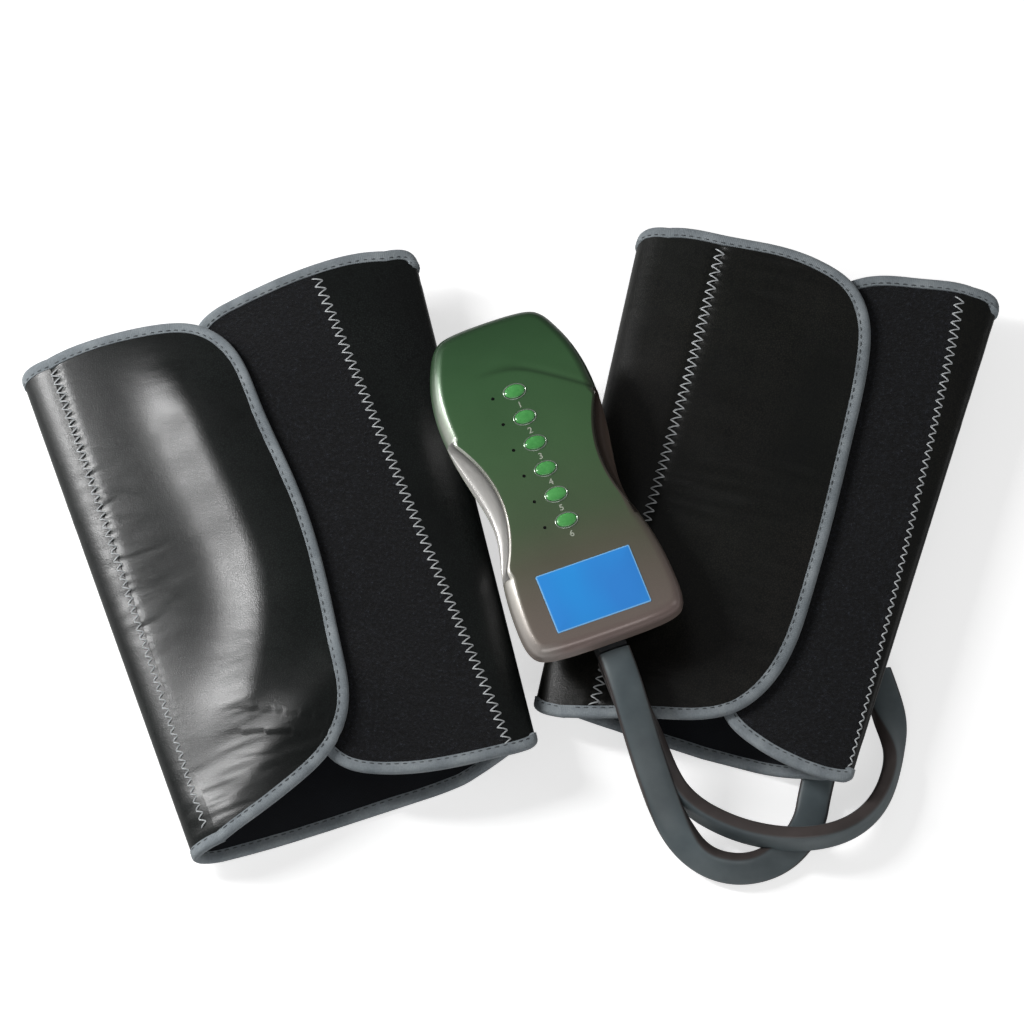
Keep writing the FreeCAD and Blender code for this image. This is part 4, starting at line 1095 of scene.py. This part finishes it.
def case_profile(ridge):
    """(inset, height share) from the parting line up to the face's edge, plain and scooped.

    Plain: a drafted wall and a quarter ellipse.  Scooped: a small lip, a hollow that steepens as a
    power of the way in, and a narrow rounded rim.
    """
    rise = np.linspace(0, 1, WALL_STEPS)
    angle = np.linspace(0, np.pi / 2, EDGE_STEPS + 1)[1:]
    start, low = EDGE_START
    plain = np.stack([np.r_[start * rise, start + (EDGE_END - start) * (1 - np.cos(angle))],
                      np.r_[low * rise, low + (1 - low) * np.sin(angle)]], -1)
    lip = np.linspace(0, 1, LIP_STEPS)
    u = np.linspace(0, 1, WALL_STEPS + EDGE_STEPS - LIP_STEPS - RIM_STEPS)
    turn = np.linspace(0, np.pi / 2, RIM_STEPS + 1)[1:]
    ridge = ridge[:, None]
    inset = np.hstack([LIP_IN * lip + 0 * ridge, LIP_IN + (ridge - LIP_IN) * u,
                       ridge + RIM_IN * (1 - np.cos(turn))])
    height = np.r_[LIP_HIGH * lip, HOLLOW_START + HOLLOW_RISE * u ** HOLLOW_POWER,
                   RIM_START_HIGH + RIM_RISE * np.sin(turn)]
    return plain, np.stack(np.broadcast_arrays(inset, height), -1)


def oval(place, margin, count):
    """An oval round a button's place, larger than the button by a margin."""
    return np.array(place) + (BUTTON_SIZE + margin) * circle(count)


def screen_ring(grown, radius, spacing=2.0, steps=6):
    """The screen's oblong with round corners, as a closed run of points."""
    low = (SCREEN_SIZE + grown) / 2 - radius
    angles = np.radians(np.linspace(-90, 0, steps) + 90 * np.arange(4)[:, None])
    runs = [low * corner + radius * np.stack([np.cos(angle), np.sin(angle)], 1)
            for corner, angle in zip(((1, -1), (1, 1), (-1, 1), (-1, -1)), angles)]
    ring = np.concatenate(runs + [runs[0][:1]])
    return SCREEN_MIDDLE + np.concatenate([
        np.linspace(a, b, max(1, int(np.linalg.norm(b - a) / spacing)), endpoint=False)
        for a, b in zip(ring, ring[1:])])


def inside(points, ring):
    """Which points lie inside a closed ring, by counting crossings."""
    x, y = points[:, 0, None], points[:, 1, None]
    a, b = ring, np.roll(ring, -1, axis=0)
    spans = (a[:, 1] > y) != (b[:, 1] > y)
    rise = np.where(b[:, 1] == a[:, 1], 1, b[:, 1] - a[:, 1])
    return (spans & (x < a[:, 0] + (y - a[:, 1]) * (b[:, 0] - a[:, 0]) / rise)).sum(axis=1) % 2 == 1


def holed_sheet(edge, holes, spacing):
    """Triangles over the inside of an edge less its holes; the edge's points come first."""
    low, high = edge.min(axis=0), edge.max(axis=0)
    rows = np.arange(low[1], high[1], spacing * 0.87)
    x, y = np.meshgrid(np.arange(low[0], high[0], spacing), rows)
    x = x + 0.5 * spacing * (np.arange(len(rows)) % 2)[:, None]
    field = np.stack([x.ravel(), y.ravel()], 1)
    rings = [edge] + holes

    def open_at(places):
        return inside(places, edge) & ~np.any([inside(places, ring) for ring in holes], axis=0)

    keep = open_at(field)
    for part in (part for ring in rings for part in np.array_split(ring, max(1, len(ring) // 60))):
        keep &= np.linalg.norm(field[:, None] - part[None], axis=2).min(axis=1) > 0.55 * spacing
    borders = []
    start = 0
    for ring in rings:
        borders += [(start + k, start + (k + 1) % len(ring)) for k in range(len(ring))]
        start += len(ring)
    points = [Vector(p) for p in np.concatenate(rings + [field[keep]])]
    made = delaunay_2d_cdt(points, borders, [], 0, 1e-6)
    corners = np.array([v[:] for v in made[0]])
    faces = np.array(made[2])
    return corners, faces[open_at(corners[faces].mean(axis=1))]


def front_shell():
    """The front cover as one closed shell: drafted wall, round edge, crowned face and its openings."""
    points, inward, ridge, share = case_outline()
    plain, scooped = case_profile(ridge)
    profile = plain + (scooped - plain) * share[:, None, None]
    plan = points[:, None] + inward[:, None] * profile[..., :1]
    top = face_height(plan[..., 0], plan[..., 1])
    wall = np.concatenate([plan, (SEAM_Z + (top - SEAM_Z) * profile[..., 1])[..., None]], -1)
    holes = [oval(place, HOLE_GAP, OVAL_SIDES) for place in BUTTONS.values()]
    holes += [(GUIDE_X, y) + GUIDE_RADIUS * circle(GUIDE_SIDES) for _, y in BUTTONS.values()]
    holes.append(screen_ring(0.2, 0.5))
    flat, faces = holed_sheet(plan[:, -1], holes, FACE_GRID)
    face = np.concatenate([flat, face_height(*flat.T)[:, None]], 1)
    steps = profile.shape[1]
    outer = np.concatenate([wall[:, :-1].transpose(1, 0, 2).reshape(-1, 3), face])
    base = (steps - 1) * RING_COUNT
    outer_faces = grid_faces(steps, RING_COUNT, ring_columns=True) + (faces + base).tolist()
    inner = outer.copy()
    inner[:base, :2] += np.tile(inward * FACE_WALL, (steps - 1, 1))
    inner[RING_COUNT:, 2] -= FACE_WALL
    inner[:, 2] = np.maximum(inner[:, 2], SEAM_Z)
    size = len(outer)
    sides = walls(np.arange(RING_COUNT)[::-1], size)
    start = base + RING_COUNT
    for ring in holes:
        sides += walls(start + np.arange(len(ring))[::-1], size)
        start += len(ring)
    # Share of painted edge light in case_paint: the rounded edge and the scoops take its painted
    # highlight and shade.
    bright = np.interp(profile[..., 0], [0, 1.2, 3.2, EDGE_END], [0.1, 0.85, 0.75, 0])
    bright += (0.9 - bright) * share[:, None]
    bright = np.concatenate([bright[:, :-1].T.ravel(), np.zeros(len(face))])
    piece("front_shell", in_case(np.concatenate([outer, inner])),
          outer_faces + turned_over(outer_faces, size) + sides, case_paint(),
          uv=np.tile(np.stack([bright, outer[:, 0] / 100 + 0.5], 1), (2, 1)), replaces=["front_cover"])
    return wall, share


GRIP_SKIN = (0.3, -0.5)


def grips(wall, share):
    """Two thin skins over the scooped waist, from the lip to just under the rim."""
    steps = slice(LIP_STEPS - 1, 1 - RIM_STEPS)
    pairs = []
    for side in (-1, 1):
        rows = np.flatnonzero((wall[:, 0, 0] * side > 0) & (share > 0.02))
        places = wall[rows][:, steps]
        normal = unit(np.cross(np.gradient(places, axis=0), np.gradient(places, axis=1)))
        normal *= np.sign(normal[len(rows) // 2, 5, 0]) * side
        pairs.append([in_case(places + off * normal) for off in GRIP_SKIN])
    shells("grip_skins", pairs, grip_metal(), replaces=["side_grips"])


def caps():
    """Six button caps: a flange under the face, a straight side and a low dome."""
    profile = ([(0.9, 1.0, 30.3), (0.9, 1.0, 31.5), (0.0, 1.0, 31.5), (0.0, 1.0, 34.5)]
               + [(0.0, k, 34.5 + 0.8 * (1 - k ** 2) ** 0.55) for k in np.linspace(1, 0.04, 12)[1:]])
    green = moulded("button_cap", (72, 158, 78), (96, 186, 100), 0.3, grain=500.0, relief=0.05,
                    coat=0.5), "button_green"
    for name, place in BUTTONS.items():
        rings = [at_height((oval(place, margin, OVAL_SIDES) - place) * scale + place, z)
                 for margin, scale, z in profile]
        sweep(name + "_cap", in_case(rings), green, crease=40, replaces=["button_" + name],
              rides="button_" + name)


def rims():
    """Six bright rings round the buttons, round on top."""
    arc = [(0.525 - 0.375 * math.cos(a), 34.05 + 0.35 * math.sin(a)) for a in np.linspace(0, np.pi, 7)]
    section = [(HOLE_GAP, 33.2)] + arc + [(0.9, 33.2)]
    faces = grid_faces(len(section), RIM_SIDES, ring_rows=True, ring_columns=True)
    points, faces = joined([(np.array([at_height(oval(place, margin, RIM_SIDES), z)
                                       for margin, z in section]), faces)
                            for place in BUTTONS.values()])
    trim = moulded("bright_trim", (150, 168, 150), (198, 210, 196), 0.22, 0.7, relief=0.04)
    piece("bright_rims", in_case(points), faces, (trim, "bright_trim"), 60, replaces=["button_rims"])


def window():
    """The screen's window: a pane with a narrow bevel."""
    ring = screen_ring(0, 0.8, 1.6) - SCREEN_MIDDLE
    rings = np.array([at_height(ring * (1 - 2 * inset / SCREEN_SIZE) + SCREEN_MIDDLE, z) for inset, z in
                      ((0, 33.0), (0, 34.0), (0.12, 34.14), (0.45, 34.2), (8, 34.2), (15.5, 34.2))])
    # Distance in from the pane's border, for its painted edge highlight.
    off = rings[..., :2] - SCREEN_MIDDLE
    edge = (SCREEN_SIZE / 2 - np.abs(off)).min(axis=-1)
    sweep("window_pane", in_case(rings), screen_pane(), crease=30, replaces=["screen_window"],
          uv=np.stack([edge, off[..., 0] / SCREEN_SIZE[0] + 0.5], -1))


DIGIT_SIZE = 4.6
DIGIT_DROP = 7.4 + 0.35 * DIGIT_SIZE
DIGIT_BOLD = 0.06
DIGIT_THICK = 0.03


def numbers():
    """A plain number printed under each button."""
    digits = []
    for i, (x, y) in enumerate(BUTTONS.values()):
        curve = bpy.data.curves.new("digit", "FONT")
        curve.body = str(i + 1)
        curve.size = DIGIT_SIZE
        curve.offset = DIGIT_BOLD
        curve.align_x = "CENTER"
        curve.extrude = DIGIT_THICK
        points, faces = curve_mesh(curve)
        digits.append((points + (x, y - DIGIT_DROP, FACE_Z + DIGIT_THICK), faces))
    points, faces = joined(digits)
    printed = moulded("print", (168, 176, 160), (192, 198, 182), 0.6)
    piece("button_numbers", in_case(points), faces, (printed, "white_moulding"), 30)


def brow_shade(made, colour):
    """A colour darkened along the brow fold, whose line is the one that face_height follows."""
    place = made.case_place(grey(1 / MM))
    x, y = made.part(place, "X"), made.part(place, "Y")
    u = made.maths("ADD", x, -BROW_MIDDLE)
    bend = made.maths("SQRT", made.maths("ADD", made.maths("MULTIPLY", u, u), BROW_ROUND))
    fold = made.maths("MULTIPLY", made.maths("ADD", u, bend), BROW_SLOPE)
    off = made.maths("ADD", made.maths("ADD", y, fold), -BROW_START - 0.4)
    near = made.spread(made.maths("ABSOLUTE", off), 1.0, 0.0, end=2.0)
    fade = made.spread(x, 0.0, 0.55, start=-16.0, end=8.0)
    return made.mix(made.maths("MULTIPLY", near, fade), colour, srgb(20, 38, 22))


def case_paint():
    """Metallic taupe paint with a painted green reflection that deepens towards the top end, and painted
    light on the rounded edge: a pale painted highlight on the left side, painted shade on the right side
    that turns to a pinkish painted highlight at the lower end.
    """
    made = paint("case_paint", Metallic=0.25, Coat_Weight=0.5, Coat_Roughness=0.12)
    # The green towards the top end is a painted reflection; the taupe at the lower end is the paint's
    # own colour.
    body = made.along_case((-88, srgb(136, 123, 116)), (-62, srgb(122, 114, 103)),
                           (-44, srgb(107, 107, 90)), (-22, srgb(90, 111, 81)), (15, srgb(80, 116, 76)),
                           (55, srgb(68, 109, 68)), (86, srgb(52, 90, 54)))
    # Painted highlight along the left side's rounded edge, dark green at the top end.
    left_edge_highlight = made.along_case((-92, srgb(176, 168, 163)), (-50, srgb(205, 201, 194)),
                             (40, srgb(186, 190, 180)), (74, srgb(70, 98, 70)))
    # Painted shade along the right side's rounded edge, with a pinkish painted highlight at the lower
    # end.
    right_edge_shade_and_highlight = made.along_case((-92, srgb(150, 130, 125)), (-40, srgb(120, 108, 100)),
                            (10, srgb(66, 60, 52)), (60, srgb(38, 62, 40)))
    # The left side takes the painted highlight, the right side the painted shade; the sheet's X share
    # lays them on the edge.
    left = made.ramp(made.part(made.sheet(), "Y"), (0.16, grey(1)), (0.27, grey(0)))
    edge = made.mix(left, right_edge_shade_and_highlight, left_edge_highlight)
    colour = brow_shade(made, made.mix(made.part(made.sheet(), "X"), body, edge))
    flakes = made.noise(made.case_place(), 1800.0, 2.0, 0.6)
    dust = made.ramp(made.blend(flakes, 0.6, made.noise(made.case_place(), 25.0)),
                     (0.3, grey(0.90)), (0.7, grey(1.06)))
    made.put(Base_Color=made.mix(1.0, colour, dust, "MULTIPLY"))
    made.gloss(made.noise(made.case_place(), 120.0), 0.30, 0.42)
    made.bump(flakes, 0.05, 0.00005)
    return made.owner, "case_face"


def grip_metal():
    """Satin plated plastic, finely brushed, with painted light: a pale painted highlight on the left
    grip, dark bronze painted shade on the right one, and painted shade deepening up each scoop towards
    its rim.
    """
    made = paint("grip_metal", Metallic=0.3, Roughness=0.3)
    place = made.case_place()
    across = made.maths("ADD", made.maths("MULTIPLY", made.part(place, "X"), 10.0), 0.5)
    # Height up the scoop, for its painted shade under the rim.
    depth = made.maths("ADD", made.maths("MULTIPLY", made.part(place, "Z"), 100.0), -2.4)
    brushed = made.noise(made.case_place((1, 0.05, 1)), 1500.0, 2.0)
    # Painted light: the left grip pale as a highlight, the right one dark bronze as shade.
    colour = made.ramp(across, (0.35, srgb(206, 204, 200)), (0.65, srgb(88, 74, 66)))
    # Brushed grain, then painted shade that darkens the scoop towards its rim.
    for shade in (made.ramp(brushed, (0.3, grey(0.88)), (0.7, grey(1.0))),
                  made.ramp(depth, (0.05, grey(1.0)), (0.45, grey(0.8)), (0.85, grey(0.3)))):
        colour = made.mix(1.0, colour, shade, "MULTIPLY")
    made.put(Base_Color=colour)
    made.bump(brushed, 0.08, 0.00005)
    return made.owner, "bright_trim"


def moulded(name, dark, pale, roughness, metallic=0.0, grain=900.0, relief=0.12, coat=0.0):
    """A moulded, plated or painted surface: soft tone changes, fine grain and uneven gloss."""
    made = paint(name, Metallic=metallic, Coat_Weight=coat, Coat_Roughness=0.08)
    fine = made.noise(made.place(), grain, 2.0, 0.6)
    broad = made.noise(made.place(), 35.0, 4.0)
    tone = made.blend(fine, 0.4, broad)
    made.put(Base_Color=made.ramp(tone, (0.35, srgb(*dark)), (0.65, srgb(*pale))))
    made.gloss(broad, roughness * 0.85, roughness * 1.15)
    made.bump(fine, relief, 0.0001)
    return made.owner


def screen_pane():
    """A lit blue pane, even with a slightly deeper middle, and a pale painted highlight along its edge.
    """
    made = paint("screen_pane", Emission_Strength=0.27, Roughness=0.16, Coat_Weight=0.4,
                 Coat_Roughness=0.05)
    depth = made.noise(made.case_place((1, 0.6, 1)), 30.0, 1.0)
    blue = made.ramp(depth, (0.35, srgb(44, 143, 221)), (0.65, srgb(50, 131, 212)))
    # Painted highlight along the pane's edge; it glows with the pane.
    edge = made.ramp(made.part(made.sheet(), "X"), (0.45, grey(1)), (0.75, grey(0)))
    lit = made.mix(edge, blue, srgb(120, 178, 226))
    made.put(Base_Color=lit, Emission_Color=lit)
    return made.owner, "screen_blue"


def light_rod():
    """Smoked clear rods, almost black; the lens at the lower end is painted pale pink as a highlight."""
    made = paint("light_rod")
    # Painted highlight: pale pink at the lower end, near black elsewhere.
    made.put(Base_Color=made.along_case((-84, srgb(196, 150, 150)), (-80, srgb(8, 9, 9))))
    made.gloss(made.noise(made.case_place(), 300.0, 2.0), 0.12, 0.3)
    return made.owner


def circuit():
    """A green board: solder mask over a grid of tracks, with pale pads."""
    made = paint("circuit_board", Roughness=0.4)
    place = made.place(turn=-CASE_TURN)
    tracks = made.add("TexBrick", place, Scale=260.0, offset=0.4, squash=1.4, Color1=srgb(22, 84, 52),
                      Color2=srgb(28, 98, 60), Mortar=srgb(52, 128, 84), Mortar_Size=0.03).node
    pads = made.add("TexVoronoi", place, out="Distance", Scale=240.0)
    made.put(Base_Color=made.mix(made.ramp(pads, (0.12, grey(1)), (0.16, grey(0))),
                                 tracks.outputs["Color"], srgb(190, 184, 160)))
    made.bump(tracks.outputs["Fac"], 0.2, 0.00005)
    return made.owner


def hooks():
    """Hook tape: rows of tiny moulded hooks on a dark backing."""
    made = paint("hook_dots", Roughness=0.55)
    dots = made.add("TexVoronoi", made.place(), out="Distance", Scale=620.0, Randomness=0.15)
    height = made.ramp(dots, (0.15, grey(1)), (0.45, grey(0)))
    made.put(Base_Color=made.mix(height, srgb(12, 12, 14), srgb(58, 59, 63)))
    made.bump(height, 0.9, 0.0006)
    return made.owner


# Moulded finishes of the carried-over solids: dark and pale tone, roughness, what else differs, solids.
MOULDED = {
    "case_shell": ((58, 52, 49), (74, 67, 63), 0.36, {"metallic": 0.3, "coat": 0.3}, "rear_cover"),
    "black_moulding": ((20, 20, 21), (34, 34, 36), 0.45, {},
                       "tact_switches pressure_sensor outlet_nozzles display_module"),
    "white_moulding": ((206, 204, 196), (226, 225, 219), 0.45, {},
                       "pump_head air_manifold inner_air_tubes"),
    "steel": ((138, 138, 140), (182, 182, 184), 0.3, {"metallic": 1.0, "relief": 0.06},
              "pump_motor motor_shaft valve_bodies valve_plunger_a valve_plunger_b charge_socket"
              " case_screws board_screws"),
    "battery_wrap": ((34, 70, 128), (46, 88, 150), 0.35, {}, "battery_pack"),
    "foot_rubber": ((24, 24, 25), (38, 38, 39), 0.8, {"relief": 0.3}, "rubber_feet"),
    "socket_rubber": ((34, 36, 38), (52, 55, 58), 0.6, {"relief": 0.25},
                      "left_cuff_inlet right_cuff_inlet hose_grommet"),
    "plug_plastic": ((42, 44, 47), (62, 65, 69), 0.4, {}, "hose_b_connector"),
    "bladder_film": ((40, 42, 46), (64, 68, 74), 0.4, {"grain": 160.0, "relief": 0.5},
                     "left_cuff_bladder right_cuff_bladder"),
}


def dress(finish, names):
    """Give carried-over solids their material."""
    for name in names.split():
        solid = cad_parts[name]
        solid.data.materials.clear()
        solid.data.materials.append(finish)


grips(*front_shell())
for part in (caps, rims, window, numbers):
    part()
for slot, (dark, pale, roughness, more, names) in MOULDED.items():
    dress(moulded(slot, dark, pale, roughness, **more), names)
dress(light_rod(), "indicator_light_guides")
dress(circuit(), "switch_board main_board")
dress(hooks(), "left_cuff_hook_patch right_cuff_hook_patch")


# ---------------------------------------------------------------- camera, lights and floor

VIEW_WIDTH = 0.512
EYE_DISTANCE = 6.0
EYE_HEIGHT = math.radians(68.0)
EYE_TARGET = np.array([1.21, 23.72, 0]) * MM
FLOOR_HALF = 3.0
FLOOR_Z = -0.3 * MM


def stand(name, data, place=(0, 0, 0), turn=(0, 0, 0)):
    """Put an object into the scene."""
    made = bpy.data.objects.new(name, data)
    made.location = place
    made.rotation_euler = turn
    bpy.context.collection.objects.link(made)
    return made


def eye():
    """A long lens high over the near side."""
    camera = bpy.data.cameras.new("camera")
    camera.sensor_width = 36.0
    camera.lens = camera.sensor_width * EYE_DISTANCE / VIEW_WIDTH
    away = np.array([0, -math.cos(EYE_HEIGHT), math.sin(EYE_HEIGHT)])
    bpy.context.scene.camera = stand("camera", camera, EYE_TARGET + EYE_DISTANCE * away,
                                     (math.pi / 2 - EYE_HEIGHT, 0, 0))


def lamp(name, place, aim, wide, tall, power, spread=180):
    """A soft oblong lamp that looks at a point."""
    light = bpy.data.lights.new(name, "AREA")
    light.shape = "RECTANGLE"
    light.size = wide
    light.size_y = tall
    light.energy = power
    light.spread = math.radians(spread)
    stand(name, light, place, (Vector(aim) - Vector(place)).to_track_quat("-Z", "Y").to_euler())


def air():
    """White where the camera sees it, and dim for everything that it lights."""
    world = bpy.data.worlds.new("studio_air")
    made = Paint(world, "Background", Color=grey(1))
    rays = made.add("LightPath").node.outputs
    seen = made.maths("MAXIMUM", rays["Is Camera Ray"], rays["Is Transmission Ray"])
    made.put(Strength=made.spread(seen, 0.13, 1.0))
    bpy.context.scene.world = world


def floor():
    """A pale sheet that glows only towards the camera."""
    mesh = bpy.data.meshes.new("floor")
    mesh.from_pydata([(x * FLOOR_HALF, y * FLOOR_HALF, FLOOR_Z)
                      for x, y in ((-1, -1), (1, -1), (1, 1), (-1, 1))], [], [(0, 1, 2, 3)])
    made = paint("floor_paper", Base_Color=grey(0.8), Roughness=0.9)
    glow = made.add("MixShader", made.add("LightPath", out="Is Camera Ray"),
                    made.add("Emission", Strength=0.0), made.add("Emission", Strength=0.62))
    both = made.add("AddShader", made.shader.outputs[0], glow)
    made.join(both, made.tree.nodes["Material Output"].inputs["Surface"])
    mesh.materials.append(made.owner)
    stand("floor", mesh)


eye()
lamp("streak", (-1.30, 0.42, 1.20), (-0.13, 0, 0), 0.2, 0.8, 2.2, 60)
lamp("side", (-1.5, 0.45, 0.55), (0, 0, 0), 0.5, 1.4, 11)
lamp("front", (0.3, -1.6, 1.2), (0, 0, 0), 1.6, 0.7, 7)
lamp("right", (1.5, -0.2, 0.9), (0, 0, 0), 0.9, 0.9, 2)
air()
floor()
bpy.context.scene.view_settings.view_transform = "Standard"
